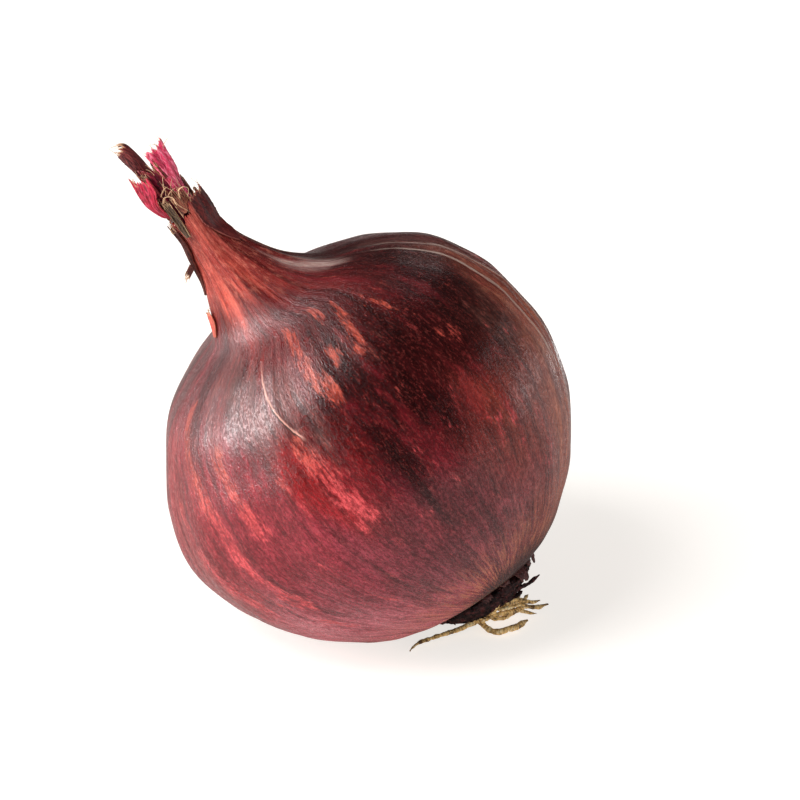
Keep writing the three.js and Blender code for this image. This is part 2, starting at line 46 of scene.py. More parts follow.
def ease(x, low, high):
    t = np.clip((np.asarray(x, float) - low) / (high - low), 0, 1)
    return t * t * (3 - 2 * t)


def mix(a, b, t):
    return a + (b - a) * t


# A smooth curve through [place, value] pairs that never overshoots them.
def smoothThrough(pairs):
    xs = np.array([p[0] for p in pairs], float)
    ys = np.array([p[1] for p in pairs], float)
    slopes = np.diff(ys) / np.diff(xs)
    tangents = np.zeros(len(xs))
    tangents[0], tangents[-1] = slopes[0], slopes[-1]
    for i in range(1, len(xs) - 1):
        before, after = slopes[i - 1], slopes[i]
        if before * after > 0:
            tangents[i] = 2 * before * after / (before + after)

    def read(place):
        at = np.clip(np.asarray(place, float), xs[0], xs[-1])
        i = np.clip(np.searchsorted(xs, at, side="right") - 1, 0, len(xs) - 2)
        span = xs[i + 1] - xs[i]
        t = (at - xs[i]) / span
        t2, t3 = t * t, t * t * t
        return ((2 * t3 - 3 * t2 + 1) * ys[i] + (t3 - 2 * t2 + t) * span * tangents[i]
                + (3 * t2 - 2 * t3) * ys[i + 1] + (t3 - t2) * span * tangents[i + 1])
    return read


def laidDown(points):
    turn = math.radians(-layDown["lean"])
    x, y, z = points[..., 0], points[..., 1], points[..., 2]
    turned = np.stack([math.cos(turn) * x + math.sin(turn) * z, y,
                       -math.sin(turn) * x + math.cos(turn) * z], -1)
    return (turned + np.array(layDown["middle"])) * 0.001


# A colour as seen on a screen, 0 to 255, as the light values that materials take.
def colourOf(red, green, blue):
    screen = np.array([red, green, blue]) / 255
    return np.where(screen <= 0.04045, screen / 12.92, ((screen + 0.055) / 1.055) ** 2.4)


# Smooth seeded noise for shapes and for the edges of colour zones, from sums of waves.
def waves(seed, count, low, high, dims=2):
    draw = np.random.default_rng(seed)
    directions = draw.normal(size=(count, dims))
    directions /= np.linalg.norm(directions, axis=1, keepdims=True)
    sizes = np.exp(draw.uniform(math.log(low), math.log(high), count))
    phases = draw.uniform(0, 2 * math.pi, count)

    def read(*places):
        total = 0
        for k in range(count):
            reach = sum(directions[k, d] * places[d] for d in range(dims))
            total = total + np.sin(2 * math.pi * reach / sizes[k] + phases[k])
        return total / math.sqrt(count)
    return read


# A closed piece from points in metres and faces, turned so that its faces point out.
def makePiece(name, points, faces):
    mesh = bpy.data.meshes.new(name)
    volume = 0
    for face in faces:
        a, b, c = points[face[:, 0]], points[face[:, 1]], points[face[:, 2]]
        volume += np.einsum("ij,ij->", a, np.cross(b, c))
        if face.shape[1] == 4:
            d = points[face[:, 3]]
            volume += np.einsum("ij,ij->", a, np.cross(c, d))
    if volume < 0:
        faces = [face[:, ::-1] for face in faces]
    mesh.from_pydata(points.tolist(), [], [f for face in faces for f in face.tolist()])
    mesh.polygons.foreach_set("use_smooth", np.ones(len(mesh.polygons), bool))
    mesh.update()
    piece = bpy.data.objects.new(name, mesh)
    bpy.context.scene.collection.objects.link(piece)
    return piece


def putOnPoints(piece, name, values):
    values = np.asarray(values, np.float32)
    if values.ndim == 1:
        layer = piece.data.attributes.new(name, "FLOAT", "POINT")
        layer.data.foreach_set("value", values)
    elif values.shape[1] == 3:
        layer = piece.data.attributes.new(name, "FLOAT_VECTOR", "POINT")
        layer.data.foreach_set("vector", values.ravel())
    else:
        layer = piece.data.attributes.new(name, "FLOAT_COLOR", "POINT")
        layer.data.foreach_set("color", values.ravel())


def dress(piece, material, slot, *nodes):
    piece.data.materials.append(material)
    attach(piece, "root")
    if nodes:
        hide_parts(*nodes)


# Camera, floor and light.

cameraView = dict(target=(5.390, -0.077, 42.578), elevation=25, distance=700, lens=177.3)


def placeCamera():
    tilt = math.radians(cameraView["elevation"])
    back = Vector((0, -math.cos(tilt), math.sin(tilt)))
    data = bpy.data.cameras.new("camera")
    data.lens = cameraView["lens"]
    data.sensor_width = 36
    data.clip_start = 0.01
    data.clip_end = 20
    camera = bpy.data.objects.new("camera", data)
    camera.location = (Vector(cameraView["target"]) + back * cameraView["distance"]) * 0.001
    camera.rotation_mode = "QUATERNION"
    camera.rotation_quaternion = (-back).to_track_quat("-Z", "Y")
    bpy.context.scene.collection.objects.link(camera)
    bpy.context.scene.camera = camera


# Each light: azimuth from the front (left is negative) and elevation in degrees, then metres. Its
# role says whether it lights the surfaces, shines in their gloss, or both.
studio = dict(
    surround=0.14,
    surroundInGloss=0.25,
    lights=dict(
        leftWindow=dict(azimuth=-86, elevation=20, distance=1.0, width=0.62, height=0.6, power=18,
                        role="shine"),
        neckShine=dict(azimuth=168, elevation=33, distance=1.2, width=0.3, height=0.16, power=0.3,
                       role="shine"),
        limbShine=dict(azimuth=172, elevation=-13, distance=0.13, width=0.13, height=0.012,
                       power=0.012, role="shine"),
        leftSoft=dict(azimuth=-66, elevation=24, distance=1.2, width=0.7, height=0.6, power=12,
                      role="light"),
        frontSoft=dict(azimuth=-44, elevation=52, distance=1.3, width=0.6, height=0.5, power=14,
                       role="light"),
        rightWall=dict(azimuth=108, elevation=6, distance=1.1, width=0.6, height=0.5, power=2.0,
                       role="both"),
        rightLow=dict(azimuth=42, elevation=16, distance=0.7, width=0.3, height=0.3, power=0.9,
                      role="light"),
    ),
    floorColour=(190, 187, 184),
    floorSeen=(255, 251, 246),
    floorReflected=(86, 80, 77),
    floorBounced=(232, 222, 216),
    floorGlow=0.74,
)


def placeLights():
    world = bpy.data.worlds.new("studio")
    world.use_nodes = True
    world.node_tree.nodes["Background"].inputs["Color"].default_value = (1, 1, 1, 1)
    world.node_tree.nodes["Background"].inputs["Strength"].default_value = studio["surround"]
    # the room lights the onion more than it shows in its gloss
    tree = world.node_tree
    path = tree.nodes.new("ShaderNodeLightPath")
    strength = tree.nodes.new("ShaderNodeMath")
    strength.operation = "MULTIPLY_ADD"
    tree.links.new(path.outputs["Is Glossy Ray"], strength.inputs[0])
    strength.inputs[1].default_value = -studio["surround"] * (1 - studio["surroundInGloss"])
    strength.inputs[2].default_value = studio["surround"]
    tree.links.new(strength.outputs[0], tree.nodes["Background"].inputs["Strength"])
    bpy.context.scene.world = world
    for name, values in studio["lights"].items():
        turn, rise = math.radians(values["azimuth"]), math.radians(values["elevation"])
        towards = Vector((math.sin(turn) * math.cos(rise), -math.cos(turn) * math.cos(rise),
                          math.sin(rise)))
        data = bpy.data.lights.new(name, "AREA")
        data.shape = "RECTANGLE"
        data.size = values["width"]
        data.size_y = values["height"]
        data.energy = values["power"]
        light = bpy.data.objects.new(name, data)
        light.visible_glossy = values["role"] != "light"
        light.visible_diffuse = values["role"] != "shine"
        light.visible_camera = False
        light.location = Vector((0, 0, 0.04)) + towards * values["distance"]
        light.rotation_mode = "QUATERNION"
        light.rotation_quaternion = towards.to_track_quat("Z", "Y")
        bpy.context.scene.collection.objects.link(light)


def placeFloor():
    reach = 4.0
    corners = np.array([(-reach, -reach, -0.0002), (reach, -reach, -0.0002),
                        (reach, reach, -0.0002), (-reach, reach, -0.0002)])
    mesh = bpy.data.meshes.new("floor")
    mesh.from_pydata(corners.tolist(), [], [(0, 1, 2, 3)])
    floor = bpy.data.objects.new("floor", mesh)
    bpy.context.scene.collection.objects.link(floor)
    material = bpy.data.materials.new("whiteTable")
    material.use_nodes = True
    shader = material.node_tree.nodes["Principled BSDF"]
    shader.inputs["Base Color"].default_value = (*colourOf(*studio["floorColour"]), 1)
    shader.inputs["Roughness"].default_value = 0.9
    shader.inputs["Specular IOR Level"].default_value = 0.1
    # the table looks white to the camera, and darker in the onion's gloss
    tree = material.node_tree
    path = tree.nodes.new("ShaderNodeLightPath")
    seen = tree.nodes.new("ShaderNodeMix")
    shone = tree.nodes.new("ShaderNodeMix")
    for choice in (seen, shone):
        choice.data_type = "RGBA"
    tree.links.new(path.outputs["Is Glossy Ray"], shone.inputs[0])
    shone.inputs[6].default_value = (*colourOf(*studio["floorBounced"]), 1)
    shone.inputs[7].default_value = (*colourOf(*studio["floorReflected"]), 1)
    tree.links.new(path.outputs["Is Camera Ray"], seen.inputs[0])
    tree.links.new(shone.outputs[2], seen.inputs[6])
    seen.inputs[7].default_value = (*colourOf(*studio["floorSeen"]), 1)
    tree.links.new(seen.outputs[2], shader.inputs["Emission Color"])
    shader.inputs["Emission Strength"].default_value = studio["floorGlow"]
    mesh.materials.append(material)


placeCamera()
placeLights()
placeFloor()
bpy.context.scene.view_settings.view_transform = "Standard"
bpy.context.scene.view_settings.look = "None"
print("camera, floor and light placed")


# Small helpers for node trees.

def addNode(tree, kind, **settings):
    node = tree.nodes.new(kind)
    for key, value in settings.items():
        setattr(node, key, value)
    return node


def feed(tree, socket, value):
    if isinstance(value, bpy.types.NodeSocket):
        tree.links.new(value, socket)
    elif value is not None:
        socket.default_value = value


def calc(tree, operation, a, b=None, c=None, clamp=False):
    node = addNode(tree, "ShaderNodeMath", operation=operation, use_clamp=clamp)
    for socket, value in zip(node.inputs, (a, b, c)):
        feed(tree, socket, value)
    return node.outputs[0]


def remap(tree, value, low, high, toLow=0.0, toHigh=1.0, smooth=True):
    node = addNode(tree, "ShaderNodeMapRange",
                   interpolation_type="SMOOTHSTEP" if smooth else "LINEAR")
    for name, given in (("Value", value), ("From Min", low), ("From Max", high),
                        ("To Min", toLow), ("To Max", toHigh)):
        feed(tree, node.inputs[name], given)
    return node.outputs["Result"]


def blendColour(tree, factor, a, b, blend="MIX"):
    node = addNode(tree, "ShaderNodeMix", data_type="RGBA", blend_type=blend)
    feed(tree, node.inputs[0], factor)
    for socket, value in ((node.inputs[6], a), (node.inputs[7], b)):
        if isinstance(value, tuple):
            value = (*colourOf(*value), 1)
        feed(tree, socket, value)
    return node.outputs[2]


def noiseOf(tree, vector, scale, detail=2.0, roughness=0.5):
    node = addNode(tree, "ShaderNodeTexNoise")
    feed(tree, node.inputs["Vector"], vector)
    feed(tree, node.inputs["Scale"], scale)
    feed(tree, node.inputs["Detail"], detail)
    feed(tree, node.inputs["Roughness"], roughness)
    return node.outputs["Fac"]


# The fibre coordinates, squeezed along the fibres so that what is drawn on them comes out long.
def stretched(tree, vector, along, offset=(0, 0, 0)):
    node = addNode(tree, "ShaderNodeMapping")
    feed(tree, node.inputs["Vector"], vector)
    node.inputs["Scale"].default_value = (1, 1, along)
    node.inputs["Location"].default_value = offset
    return node.outputs["Vector"]


# The fibre coordinates with a slow twist, so that lines drawn on them cross the fibres at a slant.
def twisted(tree, vector, amount):
    parts = addNode(tree, "ShaderNodeSeparateXYZ")
    feed(tree, parts.inputs[0], vector)
    node = addNode(tree, "ShaderNodeVectorRotate", rotation_type="Z_AXIS")
    feed(tree, node.inputs["Vector"], vector)
    feed(tree, node.inputs["Angle"], calc(tree, "MULTIPLY", parts.outputs["Z"], amount))
    return node.outputs["Vector"]


def readAttribute(tree, name, output="Fac"):
    return addNode(tree, "ShaderNodeAttribute", attribute_name=name).outputs[output]


def newGroup(name, inputs, outputs):
    group = bpy.data.node_groups.new(name, "ShaderNodeTree")
    for label, kind, value in inputs:
        socket = group.interface.new_socket(label, in_out="INPUT", socket_type=kind)
        if value is not None:
            socket.default_value = value
    for label, kind in outputs:
        group.interface.new_socket(label, in_out="OUTPUT", socket_type=kind)
    return group, addNode(group, "NodeGroupInput"), addNode(group, "NodeGroupOutput")


def useGroup(tree, group, **values):
    node = addNode(tree, "ShaderNodeGroup", node_tree=group)
    for name, value in values.items():
        feed(tree, node.inputs[name], value)
    return node


number, vector3 = "NodeSocketFloat", "NodeSocketVector"


# The fibre lines of dry skin: broad streaks, threads, hair-fine threads and thin dark veins, all
# along the fibres. The coordinates are millimetres round the onion and along its fibres.
def fibreGroup():
    group, given, result = newGroup(
        "fibreLines",
        [("Fibres", vector3, None), ("Vein Spacing", number, 1.0)],
        [("Streaks", number), ("Threads", number), ("Hairs", number), ("Veins", number),
         ("Grain", number),
         ("Height", number)],
    )
    place = given.outputs["Fibres"]
    streaks = noiseOf(group, stretched(group, place, 0.1), 0.4, 4, 0.62)
    threads = noiseOf(group, stretched(group, place, 0.2, (3, 7, 1)), 1.1, 5, 0.72)
    slant = 0.0042
    hairs = calc(group, "MAXIMUM",
                 noiseOf(group, stretched(group, twisted(group, place, slant), 0.2, (9, 2, 4)),
                         2.6, 2, 0.55),
                 noiseOf(group, stretched(group, twisted(group, place, -slant), 0.2, (1, 12, 6)),
                         2.4, 2, 0.55))
    veinNoise = noiseOf(group, stretched(group, place, 0.05, (5, 5, 8)),
                        calc(group, "DIVIDE", 0.5, given.outputs["Vein Spacing"]), 1, 0.4)
    away = calc(group, "ABSOLUTE", calc(group, "SUBTRACT", veinNoise, 0.5))
    veins = remap(group, away, 0.0, 0.012, 1.0, 0.0)
    grain = noiseOf(group, stretched(group, place, 0.6, (5, 8, 2)), 2.3, 3, 0.62)
    height = calc(group, "ADD", calc(group, "MULTIPLY", threads, 0.35),
                  calc(group, "MULTIPLY", hairs, 0.4))
    height = calc(group, "ADD", height, calc(group, "MULTIPLY", grain, 0.7))
    for label, value in (("Streaks", streaks), ("Threads", threads), ("Hairs", hairs),
                         ("Veins", veins), ("Grain", grain), ("Height", height)):
        feed(group, result.inputs[label], value)
    return group


# Small ragged dashes, such as flecks where the top layer of skin has come off.
def fleckGroup():
    group, given, result = newGroup(
        "flecks",
        [("Fibres", vector3, None), ("Size", number, 1.0), ("Amount", number, 0.5)],
        [("Mask", number)],
    )
    place = stretched(group, given.outputs["Fibres"], 0.38, (2, 11, 5))
    scale = calc(group, "DIVIDE", 1.4, given.outputs["Size"])
    specks = noiseOf(group, place, scale, 4, 0.65)
    level = remap(group, given.outputs["Amount"], 0.0, 1.0, 0.72, 0.42, smooth=False)
    mask = remap(group, specks, level, calc(group, "ADD", level, 0.05))
    feed(group, result.inputs["Mask"], mask)
    return group


fibreLines = fibreGroup()
flecks = fleckGroup()
print("shared shader groups built")


# The bulb. Radius and sidestep by height are those of the part's source.
bulb = dict(
    columns=384,
    rows=244,
    rootEnd=-36.0,
    neckOpening=53.5,
    rootTilt=11,
    rootEndHeight=8,
    troughFloor=49.5,
    coreTop=58.0,
    coreRadius=1.2,
    skinThickness=0.45,
    fineRidges=0.035,
    outline=[(-36, 10.6), (-35.2, 13.0), (-32, 18.9), (-27, 24.3), (-20, 30.8),
             (-10, 36.1), (0, 38), (10, 36.0), (17, 32.4), (22, 28.9), (27, 22.1), (30, 16.0),
             (32, 12.0), (34, 9.9), (37, 7.8), (40, 6.4), (44, 5.0), (48, 4.2), (53.5, 3.7)],
    sidestep=[(-36, 1.5), (-32, 0.3), (-24, 0.3), (-16, 0.1), (-6, 0), (4, 0.4),
              (14, 1.4), (24, 2.3), (30, 3.5), (32, 1.5), (34, 0.6), (37, -0.3), (40, -0.9),
              (46, -1.7), (58, -1.8)],
)
outline = smoothThrough(bulb["outline"])
fibreRadius = float(outline(0))
sidestep = smoothThrough(bulb["sidestep"])


def ribs(angle, height):
    wave = (0.5 * np.sin(17 * angle + 0.6 * np.sin(3 * angle)) + 0.3 * np.sin(11 * angle + 2.0)
            + 0.35 * np.sin(6 * angle + 4.1))
    return 0.36 * wave * ease(height, -35, -24) * (1 - ease(height, 26, 34))


def pleats(angle, height):
    wave = np.sin(9 * angle + 0.05 * height) + 0.5 * np.sin(14 * angle + 1.2)
    return 0.27 * wave * ease(height, 28, 38) * mix(1, 0.3, ease(height, 38, 52))


def hollows(angle, height):
    def nearness(middle, spread):
        away = angle - math.radians(middle)
        turn = np.abs(np.arctan2(np.sin(away), np.cos(away)))
        return 1 - ease(turn, math.radians(0.5 * spread), math.radians(1.3 * spread))
    right = nearness(-16, 46) * ease(height, 43, 49)
    left = nearness(212, 30) * ease(height, 36, 42)
    return -0.6 * (1 - ease(height, 48.5, bulb["neckOpening"])) * np.maximum(right, left)


def skinRadius(angle, height):
    outOfRound = 1 + 0.006 * np.cos(2 * angle + 0.9) + 0.004 * np.cos(3 * angle + 2.2)
    return (outline(height) * outOfRound + ribs(angle, height) + pleats(angle, height)
            + hollows(angle, height))


def roundMiddle(angle, height, radius):
    low = bulb["rootEnd"]
    x = sidestep(height) + radius * np.cos(angle)
    y = radius * np.sin(angle)
    share = 1 - ease(height, low, low + bulb["rootEndHeight"])
    z = height - share * y * math.tan(math.radians(bulb["rootTilt"]))
    return np.stack(np.broadcast_arrays(x, y, z), -1)


def skinEdge(angle):
    sway = 1.2 * np.cos(angle - math.radians(20))
    return bulb["neckOpening"] + sway + 0.7 * np.sin(5 * angle + 1) + 0.5 * np.sin(11 * angle)


# The fibres fan out from the neck and meet again beside the root plate. Seen from above they lean
# a little, as if both meeting places stood off the axis.
fibrePoles = dict(neckShift=0.14, neckSide=150, rootDistance=4.6, rootSide=-62)


def fibreAngle(angle, height, radius):
    spread = np.tan(np.arctan2(radius, height) / 2)
    place = spread * np.exp(1j * angle)
    neck = (fibrePoles["neckShift"] * ease(spread, 0.02, 0.56)
            * np.exp(1j * math.radians(fibrePoles["neckSide"])))
    root = fibrePoles["rootDistance"] * np.exp(1j * math.radians(fibrePoles["rootSide"]))
    return angle + np.angle(1 - neck / place) - np.angle(1 - place / root)


fineHeights = np.linspace(bulb["rootEnd"], bulb["neckOpening"], 3000)
fineLengths = np.concatenate([[0],
                              np.cumsum(np.hypot(np.diff(fineHeights),
                                                 np.diff(outline(fineHeights))))])


def lengthAt(height):
    return np.interp(height, fineHeights, fineLengths)


# Raised lines on the skin, by fibre angle, from one length to another, in degrees and millimetres.
welts = [
    dict(angle=-89.5, fromLength=64, toLength=88, width=1.1, height=0.14),
    dict(angle=4, fromLength=30, toLength=86, width=1.4, height=0.22),
    dict(angle=8.5, fromLength=34, toLength=88, width=1.2, height=0.2),
    dict(angle=12.5, fromLength=38, toLength=88, width=1.2, height=0.24),
    dict(angle=17, fromLength=30, toLength=86, width=1.6, height=0.22),
    dict(angle=23, fromLength=40, toLength=84, width=1.4, height=0.18),
    dict(angle=-127, fromLength=52, toLength=80, width=1.5, height=0.08),
    dict(angle=70, fromLength=30, toLength=80, width=1.5, height=0.16),
    dict(angle=120, fromLength=44, toLength=86, width=1.3, height=0.18),
]


# Degrees from middle to angle, the short way round.
def turnFrom(angle, middle):
    away = np.radians(angle - middle)
    return np.degrees(np.arctan2(np.sin(away), np.cos(away)))


def weltHeight(angle, length):
    total = 0
    for welt in welts:
        across = turnFrom(angle, welt["angle"]) / welt["width"]
        along = ease(length, welt["fromLength"], welt["fromLength"] + 8) * (
            1 - ease(length, welt["toLength"] - 8, welt["toLength"]))
        total = total + welt["height"] * np.exp(-across * across) * along
    return total


# Colour zones of the skin: fibre angle, length from the root rim, how far each reaches, and
# colour. Most are the skin's own colour; one is a painted highlight on the neck's right
# shoulder and one is partly painted light bounced up from the table.
skinColourAndPaintedLightZones = [
    dict(at=(-72, 58), reach=(15, 13), colour=(46, 3, 6)),
    dict(at=(-52, 57), reach=(11, 10), colour=(54, 6, 8)),
    dict(at=(-25, 72), reach=(22, 13), colour=(44, 8, 10)),
    dict(at=(-42, 86), reach=(26, 7), colour=(76, 17, 18)),
    dict(at=(-20, 60), reach=(9, 7), colour=(60, 20, 16)),
    dict(at=(-36, 66), reach=(12, 6), colour=(66, 12, 12)),
    dict(at=(-24, 44), reach=(14, 9), colour=(136, 58, 42)),
    dict(at=(1, 44), reach=(10, 18), colour=(208, 126, 94)),
    dict(at=(26, 46), reach=(14, 20), colour=(104, 38, 34)),
    dict(at=(-40, 44), reach=(10, 7), colour=(128, 46, 42)),
    dict(at=(-52, 29), reach=(28, 9), colour=(126, 50, 58)),
    dict(at=(-66, 42), reach=(15, 8), colour=(104, 26, 38)),
    dict(at=(-103, 32), reach=(20, 13), colour=(146, 42, 60)),
    dict(at=(-84, 32), reach=(16, 8), colour=(134, 48, 62)),
    dict(at=(-125, 50), reach=(16, 18), colour=(142, 38, 50)),
    # partly painted light: pale pink here is partly the skin's own pink, partly light bounced up
    # from the table
    dict(at=(-135, 25), reach=(30, 10), colour=(232, 134, 146)),
    dict(at=(-152, 55), reach=(14, 26), colour=(166, 54, 60)),
    dict(at=(-146, 84), reach=(20, 9), colour=(88, 26, 28)),
    dict(at=(-89, 57), reach=(8, 8), colour=(160, 14, 22)),
    dict(at=(-80, 59), reach=(5, 6), colour=(132, 14, 24)),
    dict(at=(-108, 78), reach=(22, 8), colour=(98, 24, 26)),
    dict(at=(-92, 19), reach=(34, 5), colour=(182, 78, 80)),
    dict(at=(-95, 105), reach=(42, 7), colour=(236, 112, 92)),
    dict(at=(-99, 93), reach=(20, 4), colour=(128, 38, 34)),
    dict(at=(-35, 104), reach=(26, 9), colour=(122, 36, 36)),
    # painted highlight: a pale grey-white patch standing in for the gleam on the neck's right
    # shoulder
    dict(at=(-9, 96), reach=(9, 3.0), colour=(222, 206, 192)),
    dict(at=(-112, 109), reach=(10, 2.4), colour=(84, 18, 15)),
    dict(at=(-72, 112.5), reach=(17, 3), colour=(244, 132, 110)),
    dict(at=(-65, 93), reach=(24, 4), colour=(108, 16, 20)),
    dict(at=(-20, 22), reach=(24, 7), colour=(164, 84, 70)),
    dict(at=(5, 84), reach=(16, 12), colour=(44, 16, 15)),
    dict(at=(60, 60), reach=(34, 30), colour=(90, 18, 24)),
    dict(at=(130, 50), reach=(34, 34), colour=(126, 30, 38)),
    dict(at=(100, 84), reach=(50, 9), colour=(90, 24, 22)),
    dict(at=(80, 22), reach=(60, 9), colour=(130, 50, 52)),
    dict(at=(90, 104), reach=(60, 9), colour=(96, 30, 24)),
]

# Bright ragged streaks and blots, from one place to another by fibre angle and length.
skinStreaks = [
    dict(start=(-79, 88), end=(-70.5, 70), width=2.6, strength=1.0),
    dict(start=(-50.5, 86), end=(-53, 76), width=2.0, strength=0.9),
    dict(start=(-63, 79), end=(-62.5, 75.5), width=2.0, strength=0.95),
    dict(start=(-56, 75), end=(-55, 74), width=1.2, strength=0.8),
    dict(start=(-61, 88), end=(-58, 86), width=2.6, strength=0.75),
    dict(start=(-40, 82), end=(-35, 76), width=1.8, strength=0.6),
    dict(start=(-33, 66), end=(-30, 64), width=1.8, strength=0.5),
    dict(start=(-89.5, 66), end=(-86, 50), width=3.6, strength=0.85),
    dict(start=(-140, 77), end=(-130, 56), width=3.0, strength=0.95),
    dict(start=(-130, 56), end=(-128, 38), width=2.6, strength=0.85),
    dict(start=(-119, 69), end=(-116, 55), width=2.8, strength=0.9),
    dict(start=(-149, 60), end=(-143, 40), width=2.6, strength=0.75),
    dict(start=(-100, 62), end=(-98, 55), width=1.3, strength=0.75),
    dict(start=(-137, 45), end=(-133, 30), width=2.0, strength=0.6),
    dict(start=(-108, 46), end=(-106, 28), width=1.2, strength=0.55),
    dict(start=(-38, 50), end=(-37, 45), width=2.2, strength=0.6),
    dict(start=(-33, 51), end=(-31, 42), width=1.6, strength=0.5),
    dict(start=(-24, 48), end=(-22, 45), width=2.2, strength=0.5),
    dict(start=(-21, 37), end=(-19, 35), width=2.4, strength=0.45),
    dict(start=(20, 64), end=(24, 50), width=2.6, strength=0.7),
    dict(start=(48, 82), end=(52, 66), width=2.6, strength=0.9),
    dict(start=(75, 60), end=(78, 40), width=3.2, strength=0.7),
    dict(start=(104, 78), end=(108, 58), width=2.8, strength=0.9),
    dict(start=(128, 56), end=(131, 34), width=3.4, strength=0.8),
    dict(start=(150, 80), end=(155, 62), width=2.4, strength=0.8),
    dict(start=(172, 66), end=(176, 44), width=3.4, strength=0.85),
]

# Soft pale pink blots towards the root end.
skinBlots = [
    dict(start=(-96, 24), end=(-84, 23), width=4.5, strength=0.8),
    dict(start=(-66, 31), end=(-58, 29), width=2.4, strength=0.5),
    dict(start=(-50, 35), end=(-46, 35), width=1.8, strength=0.6),
    dict(start=(-124, 34), end=(-120, 35), width=2.2, strength=0.5),
    dict(start=(-117, 22), end=(-110, 21), width=4.0, strength=0.5),
    dict(start=(-140, 24), end=(-132, 22), width=5.0, strength=0.6),
    dict(start=(-72, 22), end=(-70, 21), width=2.4, strength=0.45),
    dict(start=(-28, 30), end=(-22, 27), width=3.0, strength=0.35),
    dict(start=(40, 34), end=(50, 31), width=3.6, strength=0.5),
    dict(start=(100, 28), end=(110, 26), width=4.0, strength=0.5),
]

# Where a thin papery layer still lies on the skin and greys it.
skinPaper = [
    dict(start=(-118, 80), end=(-84, 76), width=14, strength=0.8),
    dict(start=(-66, 84), end=(-48, 74), width=8, strength=0.35),
    dict(start=(-150, 70), end=(-156, 40), width=9, strength=0.7),
    dict(start=(-14, 62), end=(-6, 38), width=8, strength=0.6),
    dict(start=(10, 80), end=(14, 60), width=9, strength=0.8),
    dict(start=(-60, 40), end=(-34, 34), width=8, strength=0.4),
    dict(start=(60, 86), end=(90, 70), width=14, strength=0.6),
    dict(start=(140, 60), end=(160, 44), width=12, strength=0.5),
]


# How strongly a list of marks shows at each place, from 0 to 1.
def marksAt(marks, angle, length):
    degreeSize = 0.66  # millimetres to a degree at the widest ring
    total = np.zeros_like(length)
    for mark in marks:
        (a0, l0), (a1, l1) = mark["start"], mark["end"]
        across = turnFrom(angle, a0) * degreeSize
        along = length - l0
        runX, runY = (a1 - a0) * degreeSize, l1 - l0
        t = np.clip((across * runX + along * runY) / (runX * runX + runY * runY), 0, 1)
        distance = np.hypot(across - t * runX, along - t * runY)
        total = np.maximum(total,
                           mark["strength"]
                           * np.exp(-(distance / (mark["width"] * degreeSize * 1.25)) ** 2))
    return total


def zoneColour(angle, length):
    total = np.full(length.shape, 0.05)
    colour = total[..., None] * colourOf(84, 16, 22)
    for zone in skinColourAndPaintedLightZones:
        across = turnFrom(angle, zone["at"][0]) / zone["reach"][0]
        along = (length - zone["at"][1]) / zone["reach"][1]
        weight = np.exp(-(across ** 2 + along ** 2))
        total = total + weight
        colour = colour + weight[..., None] * colourOf(*zone["colour"])
    return colour / total[..., None]


